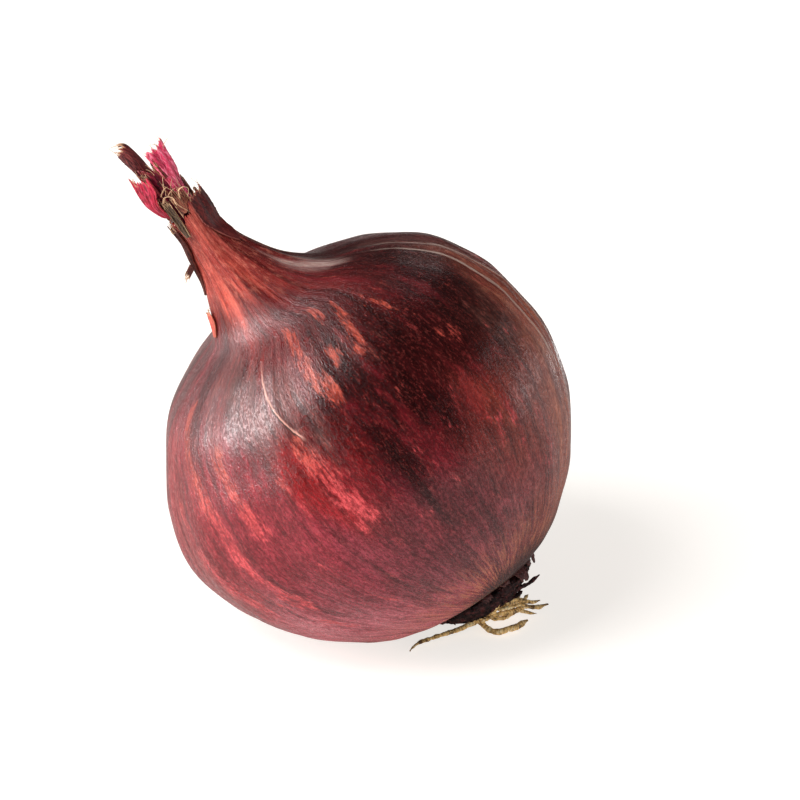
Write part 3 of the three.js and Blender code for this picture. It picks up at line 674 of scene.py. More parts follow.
def makeBulb():
    columns, rows = bulb["columns"], bulb["rows"]
    angles = 2 * math.pi * np.arange(columns) / columns
    closeness = 1 + 0.5 * ease(fineHeights, 24, 36)
    stepLengths = np.concatenate([[0], np.cumsum(np.diff(fineLengths) * closeness[1:])])
    heights = np.interp(np.linspace(0, stepLengths[-1], rows), stepLengths, fineHeights)
    angle, height = np.meshgrid(angles, heights)
    radius = skinRadius(angle, height)
    fibre = fibreAngle(angle, height, radius)
    length = lengthAt(height)
    ridges = waves(5, 26, 3.2, 9.0)(np.degrees(fibre) % 360, length * 0.04)
    ridges *= ease(length, 10, 24) * (1 - 0.6 * ease(length, 96, 106))
    radius = radius + bulb["fineRidges"] * ridges + weltHeight(np.degrees(fibre), length)

    # The rings above here spread to follow the torn edge of the neck.
    stretchFrom, opening = 44, bulb["neckOpening"]
    tear = waves(3, 14, 4, 20)
    edge = skinEdge(angles) + 0.3 * tear(np.degrees(angles), 0 * angles)
    share = np.clip((height - stretchFrom) / (opening - stretchFrom), 0, None)
    shown = height + share * (edge - opening)
    inside = skinRadius(angles, opening + 0 * angles) - bulb["skinThickness"]
    root = bulb["rootEnd"]
    ringsBelow = [(root + 1.1, 9.7 + 0 * angles, 0.0), (root + 0.5, 9.9 + 0 * angles, 0.0)]
    ringsAbove = [
        (edge, inside, 116.5),
        ((edge + bulb["troughFloor"]) / 2, inside - 0.1, 119),
        (bulb["troughFloor"] + 0 * angles, inside - 0.2, 122),
        (bulb["troughFloor"] + 0 * angles, bulb["coreRadius"] + 0 * angles, 124),
        (bulb["coreTop"] - 0.4 + 0 * angles, 0.9 * bulb["coreRadius"] + 0 * angles, 133),
    ]
    points, lengths, fibres = [], [], []
    for h, r, l in ringsBelow:
        points.append(roundMiddle(angles, h, r))
        lengths.append(np.full(columns, l))
        fibres.append(fibre[0])
    for k in range(rows):
        points.append(roundMiddle(angle[k], shown[k], radius[k]))
        lengths.append(length[k])
        fibres.append(fibre[k])
    for h, r, l in ringsAbove:
        points.append(roundMiddle(angles, h, r))
        lengths.append(np.full(columns, l))
        fibres.append(fibre[-1])
    count = len(points)
    foot = roundMiddle(0, root + 1.1, 0)
    top = roundMiddle(0, bulb["coreTop"], 0)
    places = laidDown(np.concatenate([np.concatenate(points), [foot, top]]))
    places[:, 2] = np.maximum(places[:, 2], 0)  # the small flat spot it rests on

    index = np.arange(count * columns).reshape(count, columns)
    after = np.roll(index, -1, 1)
    quads = np.stack([index[:-1], after[:-1], after[1:], index[1:]], -1).reshape(-1, 4)
    last = count * columns
    caps = np.concatenate([np.stack([after[0], index[0], np.full(columns, last)], -1),
                           np.stack([index[-1], after[-1], np.full(columns, last + 1)], -1)])
    piece = makePiece("bulb_skin", places, [quads, caps])

    allFibres = np.concatenate([np.concatenate(fibres), [0, 0]])
    allLengths = np.concatenate([np.concatenate(lengths), [0, 134]])
    coordinates = np.stack([fibreRadius * np.cos(allFibres), fibreRadius * np.sin(allFibres),
                            allLengths], -1)
    putOnPoints(piece, "fibres", coordinates)
    degrees = np.degrees(allFibres)
    warp = waves(8, 18, 6, 30, 3)
    x, y, z = coordinates.T
    warpedAngle = degrees + 3.0 * warp(x, y, z * 0.4)
    warpedLength = allLengths + 3.5 * warp(y + 20, x, z * 0.4)
    tint = zoneColour(warpedAngle, warpedLength)
    putOnPoints(piece, "tint", np.concatenate([tint, np.ones((len(tint), 1))], 1))
    putOnPoints(piece, "streaks", marksAt(skinStreaks, degrees, allLengths))
    putOnPoints(piece, "blots", marksAt(skinBlots, degrees, allLengths))
    putOnPoints(piece, "paper", marksAt(skinPaper, warpedAngle, warpedLength))
    return piece


# The skin's finish.
skinFinish = dict(
    roughness=0.3,
    specular=0.52,
    coat=0.15,
    coatRoughness=0.2,
    salmon=(180, 78, 60),
    pink=(208, 76, 80),
    dustyPink=(180, 80, 90),
    paper=(140, 96, 84),
    fleck=(158, 62, 60),
    neckLight=(222, 130, 108),
    cloud=(160, 34, 48),
    rimTan=(196, 122, 84),
    rimDark=(50, 7, 8),
    rimSide=-48,
    rimLean=7.0,
    threadDepth=0.00018,
)
# Pale lines: their ends by fibre angle and length, and their widths in millimetres. The first is a
# pale crease with a dark crack; the other two are painted highlights, pale lines with a slight
# raised bump that stand in for glints on the bulb's upper right.
skinCreasesAndPaintedGlints = [
    dict(ends=((-97, 85), (-86, 66)), wander=1.2, paleWidth=(0.05, 0.45), strength=0.65,
         pale=(226, 166, 150),
         crackAside=0.26, crackWidth=(0.05, 0.22), dark=(40, 12, 12)),
    # painted highlight: this line and the next are pale glint lines, not creases
    dict(ends=((-2, 90), (3, 42)), wander=1.6, paleWidth=(0.05, 0.6), strength=0.5,
         pale=(214, 190, 176)),
    dict(ends=((6, 92), (10, 38)), wander=1.6, paleWidth=(0.05, 0.5), strength=0.5,
         pale=(214, 190, 176)),
]


def fibrePlace(angle, length):
    turn = math.radians(angle)
    return Vector((fibreRadius * math.cos(turn), fibreRadius * math.sin(turn), length))


# How far to one side of a straight line on the skin each place is, and how far along it from 0 to
# 1.
def besideLine(tree, place, start, end):
    first, last = fibrePlace(*start), fibrePlace(*end)
    run = last - first
    outward = Vector((first.x, first.y, 0))
    aside = run.cross(outward).normalized()
    offset = vectorNode(tree, "SUBTRACT", place, first)
    along = calc(tree, "DIVIDE", vectorNode(tree, "DOT_PRODUCT", offset, run), run.length_squared)
    away = vectorNode(tree, "DOT_PRODUCT", offset, aside)
    behind = remap(tree, vectorNode(tree, "DOT_PRODUCT", place, outward), 0.0, 1.0, 9.0, 0.0)
    return calc(tree, "ADD", away, behind), along


def vectorNode(tree, operation, a, b):
    node = addNode(tree, "ShaderNodeVectorMath", operation=operation)
    for socket, value in zip(node.inputs, (a, b)):
        if isinstance(value, Vector):
            socket.default_value = value
        else:
            tree.links.new(value, socket)
    return node.outputs["Value" if operation == "DOT_PRODUCT" else "Vector"]


def skinMaterial():
    material = bpy.data.materials.new("onionSkin")
    material.use_nodes = True
    tree = material.node_tree
    shader = tree.nodes["Principled BSDF"]
    place = readAttribute(tree, "fibres", "Vector")
    length = addNode(tree, "ShaderNodeSeparateXYZ")
    feed(tree, length.inputs[0], place)
    lines = useGroup(tree, fibreLines, **{"Fibres": place, "Vein Spacing": 1.0})
    streaks, threads = lines.outputs["Streaks"], lines.outputs["Threads"]
    hairs, veins, grain = lines.outputs["Hairs"], lines.outputs["Veins"], lines.outputs["Grain"]

    mottle = noiseOf(tree, stretched(tree, place, 0.5, (7, 1, 2)), 1.0, 5, 0.7)
    ragged = noiseOf(tree, stretched(tree, place, 0.42, (1, 2, 3)), 0.5, 6, 0.72)
    clouds = noiseOf(tree, stretched(tree, place, 0.4, (4, 8, 6)), 0.15, 4, 0.62)

    colour = readAttribute(tree, "tint", "Color")
    # streaks go darker and redder, or lighter
    darker = blendColour(tree, 1.0, colour, (180, 142, 152), "MULTIPLY")
    colour = blendColour(tree, remap(tree, streaks, 0.36, 0.52, 0.75, 0.0), colour, darker)
    brighter = blendColour(tree, 1.0, colour, (62, 10, 16), "ADD")
    colour = blendColour(tree, remap(tree, streaks, 0.52, 0.7, 0, 0.7), colour, brighter)

    # clouds of deeper crimson and of brighter red
    deeper = blendColour(tree, 1.0, colour, (196, 146, 156), "MULTIPLY")
    colour = blendColour(tree, remap(tree, clouds, 0.4, 0.5, 0.7, 0.0), colour, deeper)
    colour = blendColour(tree, remap(tree, clouds, 0.53, 0.66, 0, 0.22), colour,
                         skinFinish["cloud"])

    # flecks where the top layer came off
    fleckAmount = remap(tree, streaks, 0.4, 0.7, 0.2, 0.62)
    fleck = useGroup(tree, flecks, **{"Fibres": place, "Size": 1.5, "Amount": fleckAmount})
    colour = blendColour(tree, calc(tree, "MULTIPLY", fleck.outputs["Mask"], 0.26), colour,
                         skinFinish["fleck"])

    # the bright streaks, broken up by the threads
    wobble = calc(tree, "ADD", calc(tree, "MULTIPLY", calc(tree, "SUBTRACT", ragged, 0.5), 3.4),
                  calc(tree, "MULTIPLY", calc(tree, "SUBTRACT", threads, 0.5), 1.8))
    torn = calc(tree, "ADD", readAttribute(tree, "streaks"), wobble)
    streakMask = calc(tree, "MULTIPLY", remap(tree, torn, 0.4, 0.95),
                      remap(tree, mottle, 0.36, 0.56, 0.45, 0.9))
    upper = remap(tree, length.outputs["Z"], 52, 72)
    streakColour = blendColour(tree, upper, skinFinish["pink"], skinFinish["salmon"])
    colour = blendColour(tree, streakMask, colour, streakColour)

    blotMask = remap(tree,
                     calc(tree, "ADD", readAttribute(tree, "blots"),
                          calc(tree, "MULTIPLY", wobble, 0.6)),
                     0.3, 0.9)
    colour = blendColour(tree, calc(tree, "MULTIPLY", blotMask, 0.6), colour,
                         skinFinish["dustyPink"])

    # the papery layer, in threads
    paper = calc(tree, "ADD", readAttribute(tree, "paper"), calc(tree, "MULTIPLY", wobble, 0.5))
    paperMask = calc(tree, "MULTIPLY", remap(tree, paper, 0.3, 0.9),
                     remap(tree, hairs, 0.36, 0.62, 0.25, 1.0))
    colour = blendColour(tree, calc(tree, "MULTIPLY", paperMask, 0.26), colour,
                         skinFinish["paper"])

    # threads, mottling, grain, light hairs and veins
    neckward = remap(tree, length.outputs["Z"], 90, 104)
    shadeColour = blendColour(tree, 1.0, colour, (186, 152, 158), "MULTIPLY")
    colour = blendColour(tree, calc(tree, "MULTIPLY", remap(tree, threads, 0.4, 0.5, 0.75, 0.0),
                                    calc(tree, "SUBTRACT", 1.0,
                                         calc(tree, "MULTIPLY", neckward, 0.6))),
                         colour, shadeColour)
    colour = blendColour(tree, remap(tree, mottle, 0.44, 0.52, 0.55, 0.0), colour, shadeColour)
    colour = blendColour(tree, remap(tree, grain, 0.42, 0.5, 0.7, 0.0), colour, shadeColour)
    lighter = blendColour(tree, 1.0, colour, (104, 44, 40), "ADD")
    colour = blendColour(tree, remap(tree, grain, 0.56, 0.64, 0.0, 0.4), colour, lighter)
    colour = blendColour(tree, remap(tree, hairs, 0.6, 0.7, 0.0, 0.34), colour, lighter)
    colour = blendColour(tree, calc(tree, "MULTIPLY", veins, 0.2), colour, shadeColour)

    # the neck is patchy, scratched along and creased across
    patches = noiseOf(tree, stretched(tree, place, 2.6, (2, 9, 4)), 0.14, 5, 0.66)
    colour = blendColour(tree,
                         calc(tree, "MULTIPLY", neckward,
                              remap(tree, patches, 0.42, 0.58, 0.8, 0.0)),
                         colour, shadeColour)
    scratches = noiseOf(tree, stretched(tree, place, 1.5, (6, 1, 7)), 0.45, 5, 0.72)
    colour = blendColour(tree,
                         calc(tree, "MULTIPLY", neckward,
                              remap(tree, scratches, 0.5, 0.64, 0.0, 0.42)),
                         colour, skinFinish["neckLight"])
    creases = noiseOf(tree, stretched(tree, place, 9.0, (3, 3, 3)), 0.1, 3, 0.6)
    crease = remap(tree, calc(tree, "ABSOLUTE", calc(tree, "SUBTRACT", creases, 0.5)), 0.0,
                   0.018, 0.6, 0.0)
    colour = blendColour(tree, calc(tree, "MULTIPLY", neckward, crease), colour, shadeColour)

    # the rim round the root plate: tan fibres that end in a black-red band
    rimSide = fibrePlace(skinFinish["rimSide"], 0)
    towards = vectorNode(tree, "DOT_PRODUCT", place, rimSide / rimSide.length_squared)
    fromRim = calc(tree, "ADD", length.outputs["Z"],
                   calc(tree, "MULTIPLY", calc(tree, "SUBTRACT", threads, 0.5), 11.0))
    fromRim = calc(tree, "SUBTRACT", fromRim,
                   calc(tree, "MULTIPLY", towards, skinFinish["rimLean"]))
    tanFibres = calc(tree, "MULTIPLY", remap(tree, fromRim, 14.0, 27.0, 1.0, 0.0),
                     remap(tree, threads, 0.48, 0.6))
    colour = blendColour(tree, calc(tree, "MULTIPLY", tanFibres, 0.55), colour,
                         skinFinish["rimTan"])
    colour = blendColour(tree, remap(tree, fromRim, 8.0, 14.5, 0.96, 0.0), colour,
                         skinFinish["rimDark"])
    # pale lines: a crease with a dark crack along its lower half, and two painted highlight lines
    raised = 0.0
    for line in skinCreasesAndPaintedGlints:
        away, along = besideLine(tree, place, *line["ends"])
        away = calc(tree, "ADD", away,
                    calc(tree, "MULTIPLY", calc(tree, "SUBTRACT", threads, 0.5), line["wander"]))
        within = calc(tree, "MULTIPLY", remap(tree, along, 0.0, 0.3),
                      remap(tree, along, 0.9, 1.0, 1.0, 0.0))
        pale = remap(tree, calc(tree, "ABSOLUTE", away), *line["paleWidth"], line["strength"], 0.0)
        pale = calc(tree, "MULTIPLY", pale, within)
        colour = blendColour(tree, pale, colour, line["pale"])
        raised = calc(tree, "ADD", raised, pale)
        if "crackAside" in line:
            aside = calc(tree, "ABSOLUTE", calc(tree, "SUBTRACT", away, line["crackAside"]))
            crack = calc(tree, "MULTIPLY", remap(tree, aside, *line["crackWidth"], 0.9, 0.0),
                         calc(tree, "MULTIPLY", remap(tree, along, 0.4, 0.6), within))
            colour = blendColour(tree, crack, colour, line["dark"])
            raised = calc(tree, "SUBTRACT", raised, crack)
    feed(tree, shader.inputs["Base Color"], colour)

    rough = remap(tree, grain, 0.4, 0.6, skinFinish["roughness"] + 0.12,
                  skinFinish["roughness"] - 0.06)
    rough = calc(tree, "ADD", rough, calc(tree, "MULTIPLY", paperMask, 0.1))
    feed(tree, shader.inputs["Roughness"], rough)
    shader.inputs["IOR"].default_value = 1.47
    shader.inputs["Specular IOR Level"].default_value = skinFinish["specular"]
    feed(tree, shader.inputs["Coat Weight"],
         remap(tree, grain, 0.42, 0.6, 0.0, 2 * skinFinish["coat"]))
    shader.inputs["Coat Roughness"].default_value = skinFinish["coatRoughness"]
    bump = addNode(tree, "ShaderNodeBump")
    bump.inputs["Distance"].default_value = skinFinish["threadDepth"]
    height = calc(tree, "ADD", lines.outputs["Height"], calc(tree, "MULTIPLY", streakMask, -0.12))
    height = calc(tree, "ADD", height, calc(tree, "MULTIPLY", raised, 0.5))
    feed(tree, bump.inputs["Height"], height)
    feed(tree, shader.inputs["Normal"], bump.outputs["Normal"])
    return material


bulbSkin = makeBulb()
dress(bulbSkin, skinMaterial(), "skin", "bulb")
print("bulb:", len(bulbSkin.data.polygons), "faces")


# The dried leaves of the neck. Each follows the neck round: its middle angle, how far it spreads
# to either side, its heights, its distance from the neck's middle line, and how its end is torn.
def looseLeaf(middle, spread, start, end, radius, crease=None):
    middleAt = smoothThrough(middle)
    spreadAt = smoothThrough(spread)
    radiusAt = smoothThrough(radius)

    def surface(u, v):
        angle = np.radians(middleAt(v) + u * spreadAt(v))
        bend = (1 - u * u) * crease(u, v) if crease else 0
        return roundMiddle(angle, mix(start, end, v), radiusAt(v) + bend)
    return surface


def clingingLeaf(middle, spread, start, end, lift, crease=None):
    middleAt = smoothThrough(middle)
    spreadAt = smoothThrough(spread)
    liftAt = smoothThrough(lift)

    def surface(u, v):
        angle = np.radians(middleAt(v) + u * spreadAt(v))
        height = mix(start, end, v)
        bend = (1 - u * u) * crease(u, v) if crease else 0
        radius = (skinRadius(angle, np.minimum(height, bulb["neckOpening"])) + 0.36 + liftAt(v)
                  + bend)
        return roundMiddle(angle, height, radius)
    return surface


def rolledLeaf(u, v):
    spineX = smoothThrough([(0, -2.5), (0.25, -3.9), (0.6, -4.4), (0.85, -4.9), (1, -5.9)])
    spineY = smoothThrough([(0, 0.1), (0.5, 0.4), (1, 0.2)])
    spineZ = smoothThrough([(0, 58.35), (0.25, 61), (0.6, 65.2), (0.85, 68.2), (1, 68.9)])
    roll = smoothThrough([(0, 1.1), (0.5, 1.15), (0.8, 1.2), (1, 0.9)])

    def spine(place):
        return np.stack(np.broadcast_arrays(spineX(place), spineY(place), spineZ(place)), -1)
    along = spine(v + 0.02) - spine(v - 0.02)
    along /= np.linalg.norm(along, axis=-1, keepdims=True)
    depthwards = np.array([0.0, 1.0, 0.0])
    sideways = np.cross(np.broadcast_to(depthwards, along.shape), along)
    sideways /= np.linalg.norm(sideways, axis=-1, keepdims=True)
    angle = np.radians(-70 + u * 150)
    return (spine(v) + sideways * (roll(v) * np.cos(angle))[..., None]
            + depthwards * (0.9 * roll(v) * np.sin(angle))[..., None])


def collarShreds(u, v):
    angle = np.radians(-71 + u * 24)
    height = mix(skinEdge(angle) + 0.55, 60.6, v)
    return roundMiddle(angle, height, 3.45 + 0.25 * v + 0.12 * np.cos(7 * u) * v)


def scrapTab(u, v):
    return roundMiddle(np.radians(206 - 6 * v), 44.6 + 0.6 * u - 1.2 * v, mix(5.2, 7.2, v))


# Teeth: how deep the end is torn, how many tears, and where they start.
neckLeaves = dict(
    leaf_magenta=dict(
        slot="magenta", finish="magenta", surface=looseLeaf(
            [(0, 209), (0.38, 213), (0.55, 215), (0.75, 222), (1, 226)],
            [(0, 18), (0.3, 21), (0.38, 25), (0.55, 28), (0.75, 36), (1, 32)],
            49.85, 64.2, [(0, 2.05), (0.2, 2.15), (0.38, 4.15), (0.6, 5.1), (1, 4.8)],
            lambda u, v: 0.26 * v * np.cos(3 * np.pi * u)),
        size=(5.0, 15), teeth=(0.13, 5, 0.1), folds=0.08),
    leaf_maroon=dict(
        slot="maroon", finish="maroon", surface=looseLeaf(
            [(0, -99), (0.45, -101), (1, -112)], [(0, 25), (0.45, 27), (0.62, 50), (1, 54)],
            49.85, 65.4, [(0, 2.05), (0.4, 2.15), (1, 2.9)],
            lambda u, v: 0.2 * np.sin(8 * u + 2) * ease(v, 0.3, 0.8)),
        size=(4.2, 15), teeth=(0.2, 7, 0.45), folds=0.11),
    leaf_pink=dict(
        slot="pink", finish="pink", surface=looseLeaf(
            [(0, -36), (1, -38)], [(0, 27), (0.5, 34), (1, 44)], 49.85, 67.2,
            [(0, 2.05), (0.4, 2.25), (0.7, 3.2), (1, 3.7)],
            lambda u, v: 0.24 * np.cos(3.5 * np.pi * u) * ease(v, 0.3, 0.8)),
        size=(3.6, 17.5), teeth=(0.07, 5, 0.3), folds=0.09),
    leaf_rust=dict(
        slot="rust", finish="rust", surface=looseLeaf(
            [(0, 80), (1, 80)], [(0, 46), (0.5, 46), (1, 36)], 49.85, 63.5,
            [(0, 2.05), (0.4, 2.15), (1, 3.3)],
            lambda u, v: 0.18 * np.cos(3 * np.pi * u) * ease(v, 0.3, 0.8)),
        size=(4.6, 13.6), teeth=(0.22, 5, 0.3), folds=0.06),
    leaf_brown=dict(slot="brown", finish="brown", surface=rolledLeaf, size=(6, 11.5),
                    teeth=(0.12, 7, 0.2), folds=0.09),
    sheath_right=dict(
        slot="maroon", finish="sheath", surface=clingingLeaf(
            [(0, -16), (1, -16)], [(0, 2), (0.12, 12), (0.4, 34), (0.6, 46), (1, 42)], 44, 56.0,
            [(0, -0.16), (0.3, 0.0), (1, 0.3)], lambda u, v: 0.12 * np.cos(9 * u) * v),
        size=(7, 15), teeth=(0.05, 6, 0.1), folds=0.1),
    sheath_back=dict(
        slot="rust", finish="rust", surface=clingingLeaf(
            [(0, 112), (1, 112)], [(0, 8), (0.4, 44), (1, 50)], 41, 59,
            [(0, -0.1), (0.6, 0.15), (1, 0.5)],
            lambda u, v: 0.14 * np.cos(8 * u + 1) * v),
        size=(9, 18), teeth=(0.26, 6, 0.2), folds=0.08),
    strip_left=dict(
        slot="brown", finish="bark", surface=clingingLeaf(
            [(0, 202), (0.4, 204), (1, 214)], [(0, 2), (0.3, 6), (0.6, 12), (1, 15)], 39, 53.4,
            [(0, -0.1), (0.5, 0.1), (1, 0.1)], lambda u, v: 0.2 * u * u * v),
        size=(2.8, 14), teeth=(0.14, 4, 0.4), folds=0.12),
    scrap_tan=dict(
        slot="tan", finish="olive", surface=clingingLeaf(
            [(0, 250), (1, 250)], [(0, 6), (0.5, 10), (1, 12)], 50, 57.6, [(0, 0), (1, 0.1)],
            lambda u, v: 0.05 * np.cos(6 * u)),
        size=(1.8, 7.8), teeth=(0.16, 4, 0.9), folds=0.08),
    collar_tan=dict(slot="tan", finish="tan", surface=collarShreds, size=(2.9, 6),
                    teeth=(0.66, 7, 0.15), folds=0.07),
    flap_salmon=dict(
        slot="salmon", finish="salmon", surface=clingingLeaf(
            [(0, 203), (1, 205)], [(0, 3), (0.5, 7), (1, 4)], 32.2, 36.8, [(0, -0.15), (1, 0.5)]),
        size=(2.6, 4.6), teeth=(0.2, 3, 0.5), folds=0.03),
)
# Leaves deep in the neck that show only between the others.
innerLeaves = dict(
    dry_inner_left=dict(
        slot="maroon", finish="maroon", surface=looseLeaf(
            [(0, 222), (1, 222)], [(0, 14), (1, 24)], 54.4, 63.6, [(0, 2.3), (0.3, 2.7), (1, 3.4)],
            lambda u, v: 0.12 * np.cos(7 * u) * v),
        size=(1.6, 9), teeth=(0.25, 4, 0.3), folds=0.1),
    dry_inner_right=dict(
        slot="rust", finish="rust", surface=looseLeaf(
            [(0, -64), (1, -70)], [(0, 10), (1, 17)], 60.9, 64.3, [(0, 3.1), (1, 3.5)],
            lambda u, v: 0.1 * np.cos(5 * u) * v),
        size=(1.1, 3.4), teeth=(0.3, 3, 0.6), folds=0.1),
)
leafMesh = dict(across=56, along=64, thickness=0.3)

# Short threads that stick out of the leaves' torn ends, as [points, thickness at foot, at tip].
fringe = dict(eachLeaf=11, length=(0.3, 1.5), bend=0.32, paths=[])


def addFringe(ends, onwards, count, seed):
    draw = np.random.default_rng(seed)
    for column in draw.integers(1, len(ends) - 1, count):
        way = onwards[column] / np.linalg.norm(onwards[column])
        length = draw.uniform(*fringe["length"])
        bend = draw.normal(size=3) * fringe["bend"] * length
        run = [ends[column] - 0.5 * way, ends[column] + 0.1 * way,
               ends[column] + 0.6 * length * way + 0.4 * bend,
               ends[column] + length * way + bend]
        fringe["paths"].append((laidDown(np.array(run)), draw.uniform(0.6, 1.3), 0.35))


# A closed thin sheet with a torn end, fine folds along it and frayed sides.
def makeLeaf(name, values, seed):
    across, along = values.get("cells", (leafMesh["across"], leafMesh["along"]))
    thickness = leafMesh["thickness"]
    u, v = np.meshgrid(np.linspace(-1, 1, across + 1), np.linspace(0, 1, along + 1))
    depth, count, phase = values["teeth"]
    place = u[0] * count * 0.5 + phase
    saw = np.abs((place - np.floor(place)) * 2 - 1)
    sway = 0.5 + 0.5 * np.sin(2.1 * u[0] + 5 * phase)
    small = waves(seed, 14, 0.09, 0.5, 1)(u[0])
    reach = 1 - depth * (0.62 * saw + 0.38 * sway) - 0.22 * depth * np.abs(small)
    fray = 1 - 0.05 * np.abs(waves(seed + 1, 12, 0.04, 0.4)(v, np.sign(u) * 3)) * ease(v, 0.2, 0.6)
    side = u * fray
    length = v * reach[None, :]
    surface = values["surface"]
    step = 1e-3
    middle = surface(side, length)
    normal = np.cross(surface(side + step, length) - surface(side - step, length),
                      surface(side, length + step) - surface(side, length - step))
    normal /= np.linalg.norm(normal, axis=-1, keepdims=True)
    halfWidth, fullLength = values["size"]
    fold = waves(seed + 2, 12, 0.35, 1.6)(side * halfWidth, length * fullLength * 0.06)
    lift = values["folds"] * np.clip(fold, -1.6, 1.6) * ease(v, 0.05, 0.3)
    thin = thickness * mix(1.0, 0.55, ease(v, 0.75, 1.0))
    faces = [laidDown(middle + normal * (lift + k * thin / 2)[..., None]) for k in (1, -1)]
    addFringe(middle[-1] + (normal * lift[..., None])[-1], middle[-1] - middle[-4],
              values.get("threads", fringe["eachLeaf"]), seed)
    size = u.size
    points = np.concatenate([f.reshape(-1, 3) for f in faces])
    index = np.arange(size).reshape(u.shape)
    front = np.stack([index[:-1, :-1], index[:-1, 1:], index[1:, 1:], index[1:, :-1]],
                     -1).reshape(-1, 4)
    back = front[:, ::-1] + size
    rim = np.concatenate([index[0, :], index[1:, -1], index[-1, -2::-1], index[-2:0:-1, 0]])
    after = np.roll(rim, -1)
    wall = np.stack([rim, rim + size, after + size, after], -1)
    piece = makePiece(name, points, [front, back, wall])
    flat = np.stack([side * halfWidth, 0 * side + seed * 3.7, length * fullLength],
                    -1).reshape(-1, 3)
    putOnPoints(piece, "fibres", np.concatenate([flat, flat + (0, 1.5, 0)]))
    fromTip = ((reach[None, :] - length) * fullLength).ravel()
    fromSide = ((1 - np.abs(u)) * halfWidth).ravel()
    putOnPoints(piece, "fromEdge", np.tile(np.minimum(fromTip, fromSide * 1.3), 2))
    return piece


# Dried leaf finishes: the colour, its darker and lighter streaks, and the dry edge.
leafFinishes = dict(
    magenta=dict(base=(176, 12, 48), dark=(98, 4, 24), light=(216, 62, 96), edge=(196, 56, 70),
                 dryWidth=0.4),
    maroon=dict(base=(84, 8, 28), dark=(42, 4, 14), light=(150, 30, 58), edge=(146, 56, 60),
                dryWidth=0.5),
    pink=dict(base=(224, 52, 96), dark=(140, 8, 44), light=(255, 140, 168), edge=(232, 120, 132),
              dryWidth=0.3),
    rust=dict(base=(96, 28, 24), dark=(50, 14, 14), light=(140, 56, 44), edge=(150, 92, 66),
              dryWidth=0.6),
    brown=dict(base=(84, 26, 30), dark=(44, 13, 16), light=(140, 62, 58), edge=(190, 146, 112),
               dryWidth=0.45),
    sheath=dict(base=(78, 22, 24), dark=(42, 12, 14), light=(124, 46, 42), edge=(158, 84, 74),
                dryWidth=0.4),
    tan=dict(base=(112, 50, 40), dark=(62, 24, 21), light=(170, 104, 78), edge=(210, 164, 128),
             dryWidth=0.5),
    olive=dict(base=(68, 48, 36), dark=(36, 24, 18), light=(112, 86, 60), edge=(172, 140, 104),
               dryWidth=0.35),
    tatter=dict(base=(66, 25, 26), dark=(34, 11, 13), light=(112, 60, 56), edge=(86, 46, 42),
                dryWidth=0.2),
    bark=dict(base=(72, 30, 26), dark=(36, 16, 15), light=(108, 52, 44), edge=(104, 56, 46),
              dryWidth=0.4),
    salmon=dict(base=(196, 78, 62), dark=(130, 38, 32), light=(220, 120, 98), edge=(206, 120, 96),
                dryWidth=0.5),
)
leafSurface = dict(roughness=0.5, threadDepth=0.00007)


def leafMaterial(name, values):
    material = bpy.data.materials.new(name + "Leaf")
    material.use_nodes = True
    tree = material.node_tree
    shader = tree.nodes["Principled BSDF"]
    place = readAttribute(tree, "fibres", "Vector")
    lines = useGroup(tree, fibreLines, **{"Fibres": place, "Vein Spacing": 0.5})
    threads, hairs, veins = (lines.outputs[k] for k in ("Threads", "Hairs", "Veins"))
    colour = blendColour(tree, remap(tree, threads, 0.56, 0.38), values["base"], values["dark"])
    colour = blendColour(tree, remap(tree, hairs, 0.5, 0.66, 0, 0.7), colour, values["light"])
    colour = blendColour(tree, calc(tree, "MULTIPLY", veins, 0.6), colour, values["dark"])
    # the edge dries out first
    fromEdge = calc(tree, "ADD", readAttribute(tree, "fromEdge"),
                    remap(tree, threads, 0.3, 0.7, -0.35, 0.35, smooth=False))
    colour = blendColour(tree, remap(tree, fromEdge, 0.05, values["dryWidth"], 0.75, 0.0), colour,
                         values["edge"])
    fleck = useGroup(tree, flecks, **{"Fibres": place, "Size": 0.4, "Amount": 0.35})
    colour = blendColour(tree, calc(tree, "MULTIPLY", fleck.outputs["Mask"], 0.4), colour,
                         values["light"])
    feed(tree, shader.inputs["Base Color"], colour)
    feed(tree, shader.inputs["Roughness"],
         remap(tree, threads, 0.3, 0.7, leafSurface["roughness"] - 0.1,
               leafSurface["roughness"] + 0.12))
    bump = addNode(tree, "ShaderNodeBump")
    bump.inputs["Distance"].default_value = leafSurface["threadDepth"]
    feed(tree, bump.inputs["Height"], lines.outputs["Height"])
    feed(tree, shader.inputs["Normal"], bump.outputs["Normal"])
    return material


leafMaterials = {name: leafMaterial(name, values) for name, values in leafFinishes.items()}
for order, (name, values) in enumerate(neckLeaves.items()):
    leaf = makeLeaf("dry_" + name, values, 20 + 3 * order)
    dress(leaf, leafMaterials[values["finish"]], values["slot"], name)
for order, (name, values) in enumerate(innerLeaves.items()):
    dress(makeLeaf(name, values, 80 + 3 * order), leafMaterials[values["finish"]], values["slot"])
tab = makeLeaf("dry_strip_tab",
               dict(surface=scrapTab, size=(0.7, 2.0), teeth=(0.25, 3, 0.3), folds=0.04), 77)
dress(tab, leafMaterials["bark"], "brown")
print("neck leaves made")


# Geometry Nodes helpers.

def nodeSocket(node, name, outputs=False):
    sockets = node.outputs if outputs else node.inputs
    return next(s for s in sockets if s.name == name and s.enabled)


def geoTree(name, inputs):
    tree = bpy.data.node_groups.new(name, "GeometryNodeTree")
    tree.interface.new_socket("Geometry", in_out="INPUT", socket_type="NodeSocketGeometry")
    for label, kind, value in inputs:
        socket = tree.interface.new_socket(label, in_out="INPUT", socket_type=kind)
        if value is not None:
            socket.default_value = value
    tree.interface.new_socket("Geometry", in_out="OUTPUT", socket_type="NodeSocketGeometry")
    return tree, addNode(tree, "NodeGroupInput"), addNode(tree, "NodeGroupOutput")


